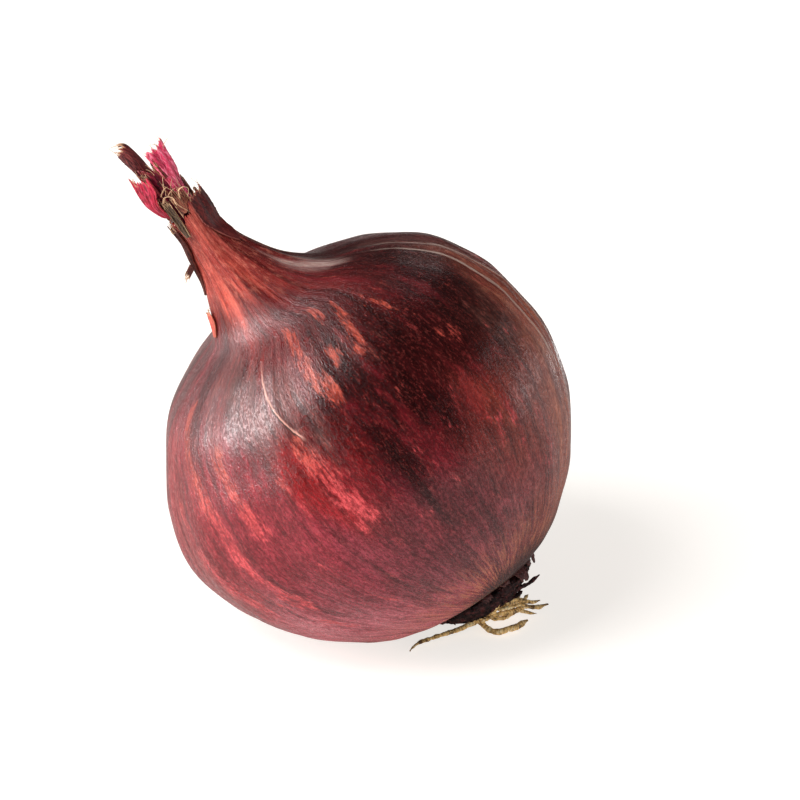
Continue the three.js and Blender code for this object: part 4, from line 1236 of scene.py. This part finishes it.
def vectorCalc(tree, operation, a, b=None, scale=None):
    node = addNode(tree, "ShaderNodeVectorMath", operation=operation)
    feed(tree, node.inputs[0], a)
    if b is not None:
        feed(tree, node.inputs[1], b)
    if scale is not None:
        feed(tree, node.inputs["Scale"], scale)
    return node.outputs[0]


# Noise vectors about zero whose bumps are size metres apart, and plain noise.
def centredNoise(tree, position, size, seed, detail=1.0):
    node = addNode(tree, "ShaderNodeTexNoise", noise_dimensions="4D")
    feed(tree, node.inputs["Vector"], position)
    feed(tree, node.inputs["W"], seed)
    feed(tree, node.inputs["Scale"], calc(tree, "DIVIDE", 1.0, size))
    feed(tree, node.inputs["Detail"], detail)
    return vectorCalc(tree, "SUBTRACT", node.outputs["Color"],
                      (0.5, 0.5, 0.5)), node.outputs["Fac"]


# Knobbly threads along paths. It draws the roots round and the shreds of leaf flat.
def threadTree():
    tree, given, result = geoTree("knobblyThreads", [
        ("Thickness", number, 0.001), ("Flatness", number, 1.0), ("Knobs", number, 0.3),
        ("Knob Size", number, 0.001), ("Wander", number, 0.0003), ("Step", number, 0.0003),
        ("Seed", number, 1.0), ("Material", "NodeSocketMaterial", None)])
    curve = addNode(tree, "GeometryNodeMeshToCurve")
    feed(tree, curve.inputs["Mesh"], given.outputs["Geometry"])
    smooth = addNode(tree, "GeometryNodeCurveSplineType", spline_type="CATMULL_ROM")
    feed(tree, smooth.inputs["Curve"], curve.outputs["Curve"])
    steps = addNode(tree, "GeometryNodeResampleCurve", mode="LENGTH")
    feed(tree, steps.inputs["Curve"], smooth.outputs["Curve"])
    feed(tree, steps.inputs["Length"], given.outputs["Step"])
    position = addNode(tree, "GeometryNodeInputPosition").outputs["Position"]
    drift, _ = centredNoise(tree, position,
                            calc(tree, "MULTIPLY", given.outputs["Knob Size"], 2.2),
                            given.outputs["Seed"])
    # the foot of each thread stays where it grows
    spline = addNode(tree, "GeometryNodeSplineParameter")
    free = remap(tree, spline.outputs["Factor"], 0.0, 0.25)
    move = addNode(tree, "GeometryNodeSetPosition")
    feed(tree, move.inputs["Geometry"], steps.outputs["Curve"])
    feed(tree, move.inputs["Offset"], vectorCalc(tree, "SCALE", drift,
         scale=calc(tree, "MULTIPLY", calc(tree, "MULTIPLY", given.outputs["Wander"], 2.0), free)))
    keep = addNode(tree, "GeometryNodeStoreNamedAttribute", data_type="FLOAT", domain="POINT")
    feed(tree, keep.inputs["Geometry"], move.outputs["Geometry"])
    keep.inputs["Name"].default_value = "along"
    feed(tree, nodeSocket(keep, "Value"), spline.outputs["Length"])
    share = addNode(tree, "GeometryNodeStoreNamedAttribute", data_type="FLOAT", domain="POINT")
    feed(tree, share.inputs["Geometry"], keep.outputs["Geometry"])
    share.inputs["Name"].default_value = "towardsTip"
    feed(tree, nodeSocket(share, "Value"), spline.outputs["Factor"])
    thick = addNode(tree, "GeometryNodeInputNamedAttribute", data_type="FLOAT")
    thick.inputs["Name"].default_value = "thick"
    _, lumps = centredNoise(tree, position, given.outputs["Knob Size"],
                            calc(tree, "ADD", given.outputs["Seed"], 7.0), 2.0)
    swell = calc(tree, "ADD", 1.0, calc(tree, "MULTIPLY", calc(tree, "MULTIPLY",
                 calc(tree, "SUBTRACT", lumps, 0.5), 2.6), given.outputs["Knobs"]))
    swell = calc(tree, "MULTIPLY", swell,
                 remap(tree, spline.outputs["Factor"], 0.88, 1.0, 1.0, 0.3))
    radius = calc(tree, "MULTIPLY",
                  calc(tree, "MULTIPLY", nodeSocket(thick, "Attribute", True), swell),
                  calc(tree, "MULTIPLY", given.outputs["Thickness"], 0.5))
    ring = addNode(tree, "GeometryNodeCurvePrimitiveCircle")
    ring.inputs["Resolution"].default_value = 10
    ring.inputs["Radius"].default_value = 1.0
    flat = addNode(tree, "ShaderNodeCombineXYZ")
    flat.inputs["X"].default_value = 1.0
    feed(tree, flat.inputs["Y"], given.outputs["Flatness"])
    flat.inputs["Z"].default_value = 1.0
    squashed = addNode(tree, "GeometryNodeTransform")
    feed(tree, squashed.inputs["Geometry"], ring.outputs["Curve"])
    feed(tree, squashed.inputs["Scale"], flat.outputs[0])
    skin = addNode(tree, "GeometryNodeCurveToMesh")
    feed(tree, skin.inputs["Curve"], share.outputs["Geometry"])
    feed(tree, skin.inputs["Scale"], radius)
    feed(tree, skin.inputs["Profile Curve"], squashed.outputs["Geometry"])
    skin.inputs["Fill Caps"].default_value = True
    _, pits = centredNoise(tree, position,
                           calc(tree, "MULTIPLY", given.outputs["Knob Size"], 0.45),
                           given.outputs["Seed"], 2.0)
    rough = calc(tree, "MULTIPLY", calc(tree, "SUBTRACT", pits, 0.5),
                 calc(tree, "MULTIPLY", given.outputs["Thickness"], given.outputs["Knobs"]))
    dent = addNode(tree, "GeometryNodeSetPosition")
    feed(tree, dent.inputs["Geometry"], skin.outputs["Mesh"])
    feed(tree, dent.inputs["Offset"], vectorCalc(
        tree, "SCALE", addNode(tree, "GeometryNodeInputNormal").outputs["Normal"], scale=rough))
    shade = addNode(tree, "GeometryNodeSetShadeSmooth")
    feed(tree, shade.inputs["Geometry"], dent.outputs["Geometry"])
    real = addNode(tree, "GeometryNodeRealizeInstances")
    feed(tree, real.inputs["Geometry"], shade.outputs["Geometry"])
    paint = addNode(tree, "GeometryNodeSetMaterial")
    feed(tree, paint.inputs["Geometry"], real.outputs["Geometry"])
    feed(tree, paint.inputs["Material"], given.outputs["Material"])
    feed(tree, result.inputs["Geometry"], paint.outputs["Geometry"])
    return tree


# Runs a tree on a base mesh with the given inputs and keeps the result as a plain mesh.
def grow(name, base, tree, values):
    carrier = bpy.data.objects.new(name + "Base", base)
    bpy.context.scene.collection.objects.link(carrier)
    modifier = carrier.modifiers.new(tree.name, "NODES")
    modifier.node_group = tree
    for item in tree.interface.items_tree:
        if item.in_out == "INPUT" and item.name in values:
            modifier[item.identifier] = values[item.name]
    shown = carrier.evaluated_get(bpy.context.evaluated_depsgraph_get())
    mesh = bpy.data.meshes.new_from_object(shown)
    mesh.name = name
    carrier.modifiers.remove(modifier)
    bpy.data.objects.remove(carrier)
    places = np.zeros(3 * len(mesh.vertices), np.float32)
    mesh.vertices.foreach_get("co", places)
    places[2::3] = np.maximum(places[2::3], 0.00008)  # nothing reaches into the table
    mesh.vertices.foreach_set("co", places)
    piece = bpy.data.objects.new(name, mesh)
    bpy.context.scene.collection.objects.link(piece)
    return piece


# Paths as a mesh of edges. Each path is its points in metres and its thickness at foot and tip.
def pathMesh(name, paths):
    points, edges, thick = [], [], []
    for path, foot, tip in paths:
        first = len(points)
        for k, point in enumerate(path):
            points.append(tuple(point))
            thick.append(mix(foot, tip, k / (len(path) - 1)))
        edges += [(first + k, first + k + 1) for k in range(len(path) - 1)]
    mesh = bpy.data.meshes.new(name)
    mesh.from_pydata(points, edges, [])
    layer = mesh.attributes.new("thick", "FLOAT", "POINT")
    layer.data.foreach_set("value", np.array(thick, np.float32))
    return mesh


threads = threadTree()


# The roots, in millimetres in the resting frame. The first point is under the plate.
roots = dict(
    thickness=0.00098,
    knobs=0.42,
    knobSize=0.0013,
    wander=0.0005,
    shown=[
        ([(21.5, -5.2, 3.2), (20.9, -6.2, 2.6), (19.1, -7.4, 1.9), (16.7, -8.8, 1.5),
          (14.7, -9.8, 1.2), (12.6, -11.2, 1.0), (10.1, -12.3, 0.9), (8.4, -13.8, 0.8),
          (7.2, -15.9, 0.7)], 1.25, 0.6),
        ([(21.3, -5.9, 3.6), (20.4, -7.7, 2.8), (20.6, -8.3, 1.6), (21.8, -9.1, 0.9),
          (23.2, -9.3, 0.8), (24.9, -8.2, 0.8), (26.5, -7.2, 0.9), (28.4, -5.5, 1.0)], 0.9, 1.3),
        ([(20.2, -6.0, 2.6), (18.6, -7.6, 2.5), (18.9, -7.4, 3.1), (20.2, -7.9, 3.9),
          (21.2, -7.9, 4.1), (22.1, -7.6, 4.7)], 1.0, 0.95),
        ([(21.3, -5.6, 3.4), (20.9, -7.3, 3.4), (21.8, -8.2, 4.2), (22.6, -8.9, 5.4),
          (23.3, -9.6, 7.0)], 1.0, 0.8),
        ([(22.6, -4.4, 4.4), (24.4, -5.0, 4.4), (26.0, -4.0, 4.6), (27.5, -3.6, 4.2),
          (29.3, -2.9, 3.6), (31.0, -2.1, 3.4)], 1.0, 0.75),
        ([(21.4, -5.2, 3.6), (22.7, -7.0, 3.2), (24.4, -5.8, 2.9), (26.0, -4.5, 2.4),
          (27.9, -2.9, 2.4), (30.1, -1.8, 2.0), (32.3, -1.4, 2.2)], 1.05, 0.85),
        ([(21.2, -5.2, 3.0), (22.3, -7.4, 2.6), (24.0, -6.0, 1.9), (25.7, -4.2, 1.8),
          (27.3, -3.2, 2.1), (28.8, -2.4, 2.4)], 0.95, 0.7),
        ([(20.6, -5.6, 3.0), (19.5, -7.5, 2.4), (20.0, -7.9, 1.6), (20.9, -8.6, 1.0),
          (21.9, -9.7, 0.7)], 0.8, 0.55),
        ([(22.2, -4.8, 4.0), (23.4, -6.6, 4.1), (24.9, -5.6, 3.9), (26.4, -4.4, 3.6),
          (27.8, -3.9, 3.6), (29.1, -3.6, 2.9)], 0.85, 0.6),
        ([(20.6, -5.8, 3.4), (19.6, -8.1, 3.4), (20.5, -8.4, 3.0), (21.4, -8.4, 3.4),
          (22.1, -8.1, 3.9)], 0.75, 0.6),
        ([(22.6, -4.0, 3.0), (25.4, -1.0, 2.0), (27.6, 1.4, 1.4), (29.0, 4.6, 1.0)], 1.0, 0.6),
        ([(22.4, -3.4, 2.8), (24.6, 1.0, 1.8), (25.6, 4.4, 1.2), (24.6, 7.6, 0.9)], 1.0, 0.6),
    ],
    hiddenCount=14,
    hiddenMiddle=(21.3, -3.4, 2.9),
)


def rootPaths():
    paths = [([tuple(0.001 * c for c in point) for point in path], foot, tip)
             for path, foot, tip in roots["shown"]]
    draw = random.Random(11)
    x, y, z = roots["hiddenMiddle"]
    for k in range(roots["hiddenCount"]):
        turn = math.radians(15 + 135 * k / (roots["hiddenCount"] - 1) + draw.uniform(-6, 6))
        reach = draw.uniform(4.5, 8.5)
        bend = turn + draw.uniform(-0.5, 0.5)
        path = [(x + 1.2 * math.cos(turn), y + 1.2 * math.sin(turn), z + draw.uniform(-0.4, 0.4)),
                (x + 0.55 * reach * math.cos(turn), y + 0.55 * reach * math.sin(turn),
                 draw.uniform(1.4, 2.4)),
                (x + 0.9 * reach * math.cos(bend), y + 0.9 * reach * math.sin(bend),
                 draw.uniform(0.8, 1.6)),
                (x + 1.15 * reach * math.cos(bend), y + 1.15 * reach * math.sin(bend),
                 draw.uniform(0.8, 1.4))]
        paths.append(([tuple(0.001 * c for c in point) for point in path],
                      draw.uniform(0.85, 1.1), 0.6))
    return paths


# Root and crust finishes.
rootFinish = dict(base=(240, 198, 126), dark=(84, 52, 26), light=(255, 242, 200), bark=0.00018)
crustFinish = dict(base=(40, 12, 14), dark=(14, 5, 7), light=(104, 42, 40), bark=0.00025)


def rootMaterial(name, values, tipDark):
    material = bpy.data.materials.new(name)
    material.use_nodes = True
    tree = material.node_tree
    shader = tree.nodes["Principled BSDF"]
    place = addNode(tree, "ShaderNodeTexCoord").outputs["Object"]
    patches = noiseOf(tree, place, 700, 4, 0.6)
    grain = noiseOf(tree, place, 3200, 3, 0.6)
    rings = calc(tree, "SINE",
                 calc(tree, "ADD", calc(tree, "MULTIPLY", readAttribute(tree, "along"), 9000.0),
                                    calc(tree, "MULTIPLY", patches, 14.0)))
    colour = blendColour(tree, remap(tree, patches, 0.34, 0.52), values["dark"], values["base"])
    colour = blendColour(tree, remap(tree, patches, 0.52, 0.68, 0, 0.8), colour, values["light"])
    colour = blendColour(tree, remap(tree, rings, -0.2, -1.0, 0, 0.45), colour, values["dark"])
    colour = blendColour(tree, remap(tree, grain, 0.55, 0.7, 0, 0.5), colour, values["light"])
    colour = blendColour(tree,
                         calc(tree, "MULTIPLY",
                              remap(tree, readAttribute(tree, "towardsTip"), 0.8, 1.0), tipDark),
                         colour, values["dark"])
    feed(tree, shader.inputs["Base Color"], colour)
    feed(tree, shader.inputs["Roughness"], remap(tree, grain, 0.3, 0.7, 0.55, 0.85))
    bump = addNode(tree, "ShaderNodeBump")
    bump.inputs["Distance"].default_value = values["bark"]
    feed(tree, bump.inputs["Height"], calc(tree, "ADD", calc(tree, "MULTIPLY", grain, 0.6),
                                           calc(tree, "MULTIPLY", rings, 0.12)))
    feed(tree, shader.inputs["Normal"], bump.outputs["Normal"])
    return material


rootTan = rootMaterial("driedRoot", rootFinish, 0.6)
crust = rootMaterial("corkCrust", crustFinish, 0.0)

rootTuft = grow("root_tuft", pathMesh("rootPaths", rootPaths()), threads, {
    "Thickness": roots["thickness"], "Flatness": 0.86, "Knobs": roots["knobs"],
    "Knob Size": roots["knobSize"],
    "Wander": roots["wander"], "Step": 0.00028, "Seed": 3.0, "Material": rootTan})
print("roots:", len(rootTuft.data.polygons), "faces")


# The corky plate under the roots. Rings are radius and height from the bulb's rim, on the plate's
# own axis.
rootPlate = dict(
    columns=260,
    rows=84,
    rings=[(9.1, 0.75), (9.2, -0.1), (10.1, -0.6), (10.1, -1.2), (8.6, -2.3), (6.8, -3.5),
           (5.0, -4.35), (0.6, -4.4)],
    lumps=0.36,
    crumbs=0.17,
    flakes=420,
    flakeSize=0.0011,
    crown=[(1.4, -4.6), (2.0, -4.85), (1.9, -5.1), (1.2, -5.3), (0.4, -5.35)],
)


def onPlate(angle, distance, height):
    turn = math.radians(bulb["rootTilt"])
    x, y = distance * np.cos(angle), distance * np.sin(angle)
    return np.stack(np.broadcast_arrays(x + float(sidestep(bulb["rootEnd"])),
                                        y * math.cos(turn) + height * math.sin(turn),
                                        height * math.cos(turn) - y * math.sin(turn)
                                        + bulb["rootEnd"]), -1)


# A crusty closed lathe through rings of radius and height.
def crustyLathe(name, rings, columns, rows, lumpSize, crumbSize, seed, lowest=0.0):
    rings = np.array(rings)
    lengths = np.concatenate([[0], np.cumsum(np.hypot(*np.diff(rings, axis=0).T))])
    places = np.linspace(0, lengths[-1], rows)
    radius = np.interp(places, lengths, rings[:, 0])[:, None]
    height = np.interp(places, lengths, rings[:, 1])[:, None]
    angle = (2 * math.pi * np.arange(columns) / columns)[None, :]
    lumps = waves(seed, 30, 1.4, 4.5, 3)
    crumbs = waves(seed + 1, 40, 0.5, 1.4, 3)
    x, y = radius * np.cos(angle), radius * np.sin(angle)
    z = height + 0 * angle
    rough = (lumpSize * (0.7 - np.abs(lumps(x, y, 1.6 * z)))
             + crumbSize * (0.6 - np.abs(crumbs(x, y, z))))
    rough *= ease(rings[0, 1] - height, 0.75, 1.5) if lowest == 0 else 1
    outwards = onPlate(angle, radius + 0.75 * rough, height - 0.65 * rough)
    points = laidDown(outwards)
    first, last = laidDown(onPlate(0, 0, rings[0, 1])), laidDown(onPlate(0, 0, rings[-1, 1]))
    points = np.concatenate([points.reshape(-1, 3), first.reshape(1, 3), last.reshape(1, 3)])
    points[:, 2] = np.maximum(points[:, 2], lowest)
    index = np.arange(rows * columns).reshape(rows, columns)
    after = np.roll(index, -1, 1)
    quads = np.stack([index[:-1], after[:-1], after[1:], index[1:]], -1).reshape(-1, 4)
    end = rows * columns
    caps = np.concatenate([np.stack([after[0], index[0], np.full(columns, end)], -1),
                           np.stack([index[-1], after[-1], np.full(columns, end + 1)], -1)])
    return makePiece(name, points, [quads, caps])


plate = crustyLathe("cork_plate", rootPlate["rings"], rootPlate["columns"], rootPlate["rows"],
                    rootPlate["lumps"], rootPlate["crumbs"], 31)
dress(plate, crust, "crust", "root_plate")
crown = crustyLathe("root_crown", rootPlate["crown"], 120, 40, 0.5, 0.25, 35, 0.0003)
dress(crown, rootTan, "root")
dress(rootTuft, rootTan, "root", "roots")
print("root plate made")


# Small bent flakes scattered over a surface.
def flakeTree():
    tree, given, result = geoTree("scatteredFlakes", [
        ("Count", "NodeSocketInt", 300), ("Size", number, 0.001), ("Seed", "NodeSocketInt", 1),
        ("Material", "NodeSocketMaterial", None)])
    area = addNode(tree, "GeometryNodeAttributeStatistic", data_type="FLOAT", domain="FACE")
    feed(tree, area.inputs["Geometry"], given.outputs["Geometry"])
    faceArea = addNode(tree, "GeometryNodeInputMeshFaceArea")
    feed(tree, nodeSocket(area, "Attribute"), faceArea.outputs[0])
    scatter = addNode(tree, "GeometryNodeDistributePointsOnFaces")
    feed(tree, scatter.inputs["Mesh"], given.outputs["Geometry"])
    feed(tree, nodeSocket(scatter, "Density"),
         calc(tree, "DIVIDE", given.outputs["Count"], nodeSocket(area, "Sum", True)))
    feed(tree, scatter.inputs["Seed"], given.outputs["Seed"])
    slab = addNode(tree, "GeometryNodeMeshCube")
    slab.inputs["Size"].default_value = (1.0, 0.6, 0.12)
    slab.inputs["Vertices X"].default_value = 4
    slab.inputs["Vertices Y"].default_value = 3
    position = addNode(tree, "GeometryNodeInputPosition").outputs["Position"]
    ragged, _ = centredNoise(tree, position, 0.5, 2.0)
    shaped = addNode(tree, "GeometryNodeSetPosition")
    feed(tree, shaped.inputs["Geometry"], slab.outputs["Mesh"])
    feed(tree, shaped.inputs["Offset"], vectorCalc(tree, "SCALE", ragged, scale=0.8))
    place = addNode(tree, "GeometryNodeInstanceOnPoints")
    feed(tree, place.inputs["Points"], scatter.outputs["Points"])
    feed(tree, place.inputs["Instance"], shaped.outputs["Geometry"])
    feed(tree, place.inputs["Rotation"], scatter.outputs["Rotation"])
    size = addNode(tree, "FunctionNodeRandomValue", data_type="FLOAT")
    feed(tree, nodeSocket(size, "Min"), 0.35)
    feed(tree, nodeSocket(size, "Max"), 1.3)
    feed(tree, nodeSocket(size, "Seed"), given.outputs["Seed"])
    feed(tree, place.inputs["Scale"],
         calc(tree, "MULTIPLY", nodeSocket(size, "Value", True), given.outputs["Size"]))
    tilt = addNode(tree, "FunctionNodeRandomValue", data_type="FLOAT_VECTOR")
    feed(tree, nodeSocket(tilt, "Min"), (-0.5, -0.5, -3.14))
    feed(tree, nodeSocket(tilt, "Max"), (0.5, 0.5, 3.14))
    feed(tree, nodeSocket(tilt, "Seed"), calc(tree, "ADD", given.outputs["Seed"], 5.0))
    turned = addNode(tree, "GeometryNodeRotateInstances")
    feed(tree, turned.inputs["Instances"], place.outputs["Instances"])
    feed(tree, turned.inputs["Rotation"], nodeSocket(tilt, "Value", True))
    real = addNode(tree, "GeometryNodeRealizeInstances")
    feed(tree, real.inputs["Geometry"], turned.outputs["Instances"])
    paint = addNode(tree, "GeometryNodeSetMaterial")
    feed(tree, paint.inputs["Geometry"], real.outputs["Geometry"])
    feed(tree, paint.inputs["Material"], given.outputs["Material"])
    feed(tree, result.inputs["Geometry"], paint.outputs["Geometry"])
    return tree


# The flakes grow on a ring-shaped copy of the plate's crusty side.
def flakeGround():
    angle, height = np.meshgrid(np.linspace(0, 2 * math.pi, 97)[:-1], np.linspace(-0.75, -4.3, 14))
    rings = np.array(rootPlate["rings"][2:])
    radius = np.interp(-height, -rings[:, 1], rings[:, 0])
    points = laidDown(onPlate(angle, radius, height)).reshape(-1, 3)
    index = np.arange(angle.size).reshape(angle.shape)
    after = np.roll(index, -1, 1)
    quads = np.stack([index[:-1], index[1:], after[1:], after[:-1]], -1).reshape(-1, 4)
    mesh = bpy.data.meshes.new("flakeGround")
    mesh.from_pydata(points.tolist(), [], quads.tolist())
    return mesh


crustFlakes = grow("crust_flakes", flakeGround(), flakeTree(), {
    "Count": rootPlate["flakes"], "Size": rootPlate["flakeSize"], "Seed": 4, "Material": crust})
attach(crustFlakes, "root")

# Tatters of skin that hang over the crust: angle, width in degrees, and reach down over it.
skinTatters = [(-78, 7, 1.9), (-56, 6, 1.3), (-33, 9, 3.4), (-17, 5, 1.7), (8, 9, 2.6),
               (45, 6, 1.8), (74, 9, 1.3), (131, 8, 2.2), (178, 6, 1.6), (226, 9, 2.0)]
tatterFoot, tatterCells = 0.5, (14, 16)


def tatterSurface(angle, width, reach):
    def surface(u, v):
        place = np.radians(angle + u * width * (1 - 0.45 * v) + 3 * v)
        distance = 10.75 + 0.45 * np.sin(2.6 * v) - 0.2 * v * reach * (v > 0.5)
        return onPlate(place, distance, tatterFoot - v * reach)
    return surface


for order, (angle, width, reach) in enumerate(skinTatters):
    values = dict(surface=tatterSurface(angle, width, reach), size=(1.6, reach),
                  teeth=(0.35, 3, 0.3 * order),
                  folds=0.1, cells=tatterCells, threads=0)
    dress(makeLeaf("rim_tatter_%d" % (order + 1), values, 120 + 3 * order),
          leafMaterials["tatter"], "crust")

darkRoots = [
    ([(24.6, -4.2, 6.0), (25.6, -5.6, 6.6), (27.0, -4.8, 7.4), (28.7, -3.5, 7.6),
      (29.6, -3.4, 8.6), (30.5, -3.0, 9.2)],
     1.1, 0.7),
    ([(24.0, -4.4, 4.8), (24.9, -5.3, 5.2), (26.0, -5.0, 5.6), (26.7, -5.0, 6.2),
      (27.4, -5.3, 7.0)], 1.0, 0.7),
]
darkTuft = grow("dark_roots",
                pathMesh("darkPaths", [([tuple(0.001 * c for c in p) for p in path], a, b)
                                                     for path, a, b in darkRoots]), threads, {
    "Thickness": 0.001, "Flatness": 0.8, "Knobs": 0.45, "Knob Size": 0.0012, "Wander": 0.0003,
    "Step": 0.0003, "Seed": 9.0, "Material": crust})
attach(darkTuft, "root")


# Shreds of the neck: angle in degrees, height and distance from the neck's middle line, in
# millimetres.
neckShreds = [
    ([(-110, 57.6, 4.4), (-96, 58.5, 4.9), (-85, 58.0, 4.9), (-84, 57.0, 4.8), (-86, 56.1, 4.6)],
     1.1, 0.8),
    ([(-70, 56.9, 4.4), (-65, 58.2, 4.7), (-54, 58.4, 4.9), (-46, 57.6, 4.9), (-51, 56.8, 4.8),
      (-58, 56.4, 4.5)], 1.1, 0.6),
    ([(-87, 58.1, 4.6), (-83, 56.7, 4.8), (-78, 55.3, 4.8), (-72, 53.8, 4.6)], 0.6, 0.4),
    ([(-106, 58.8, 4.2), (-91, 59.8, 4.4), (-78, 59.8, 4.4)], 0.9, 0.5),
    ([(-90, 58.4, 4.2), (-74, 58.9, 4.4), (-61, 58.8, 4.4)], 0.9, 0.5),
    ([(-96, 58.4, 3.8), (-85, 60.2, 3.9), (-72, 61.7, 3.9)], 1.0, 0.6),
    ([(-83, 57.9, 3.8), (-72, 59.3, 3.9), (-56, 60.4, 3.9)], 1.0, 0.6),
    ([(-18, 64.2, 3.3), (-15, 65.6, 4.0), (-11, 66.3, 5.2)], 0.55, 0.4),
]


def neckPath(places):
    angle, height, radius = np.array(places, float).T
    return laidDown(roundMiddle(np.radians(angle), height, radius))


leafThread = leafMaterial("threadTan",
                          dict(base=(178, 124, 92), dark=(112, 62, 46), light=(236, 204, 168),
                                            edge=(222, 184, 146), dryWidth=0.2))
shredMesh = pathMesh("shredPaths", [(neckPath(path), a, b) for path, a, b in neckShreds])
shreds = grow("neck_shreds", shredMesh, threads, {
    "Thickness": 0.00038, "Flatness": 0.3, "Knobs": 0.35, "Knob Size": 0.0008, "Wander": 0.0003,
    "Step": 0.00015, "Seed": 12.0, "Material": leafThread})
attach(shreds, "root")
hairMesh = pathMesh("fringePaths", fringe["paths"])
hairs = grow("neck_fringe", hairMesh, threads, {
    "Thickness": 0.00022, "Flatness": 0.5, "Knobs": 0.2, "Knob Size": 0.0008, "Wander": 0.00015,
    "Step": 0.00022, "Seed": 15.0, "Material": leafThread})
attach(hairs, "root")
print("shreds and fringe made:", len(shreds.data.polygons) + len(hairs.data.polygons), "faces")
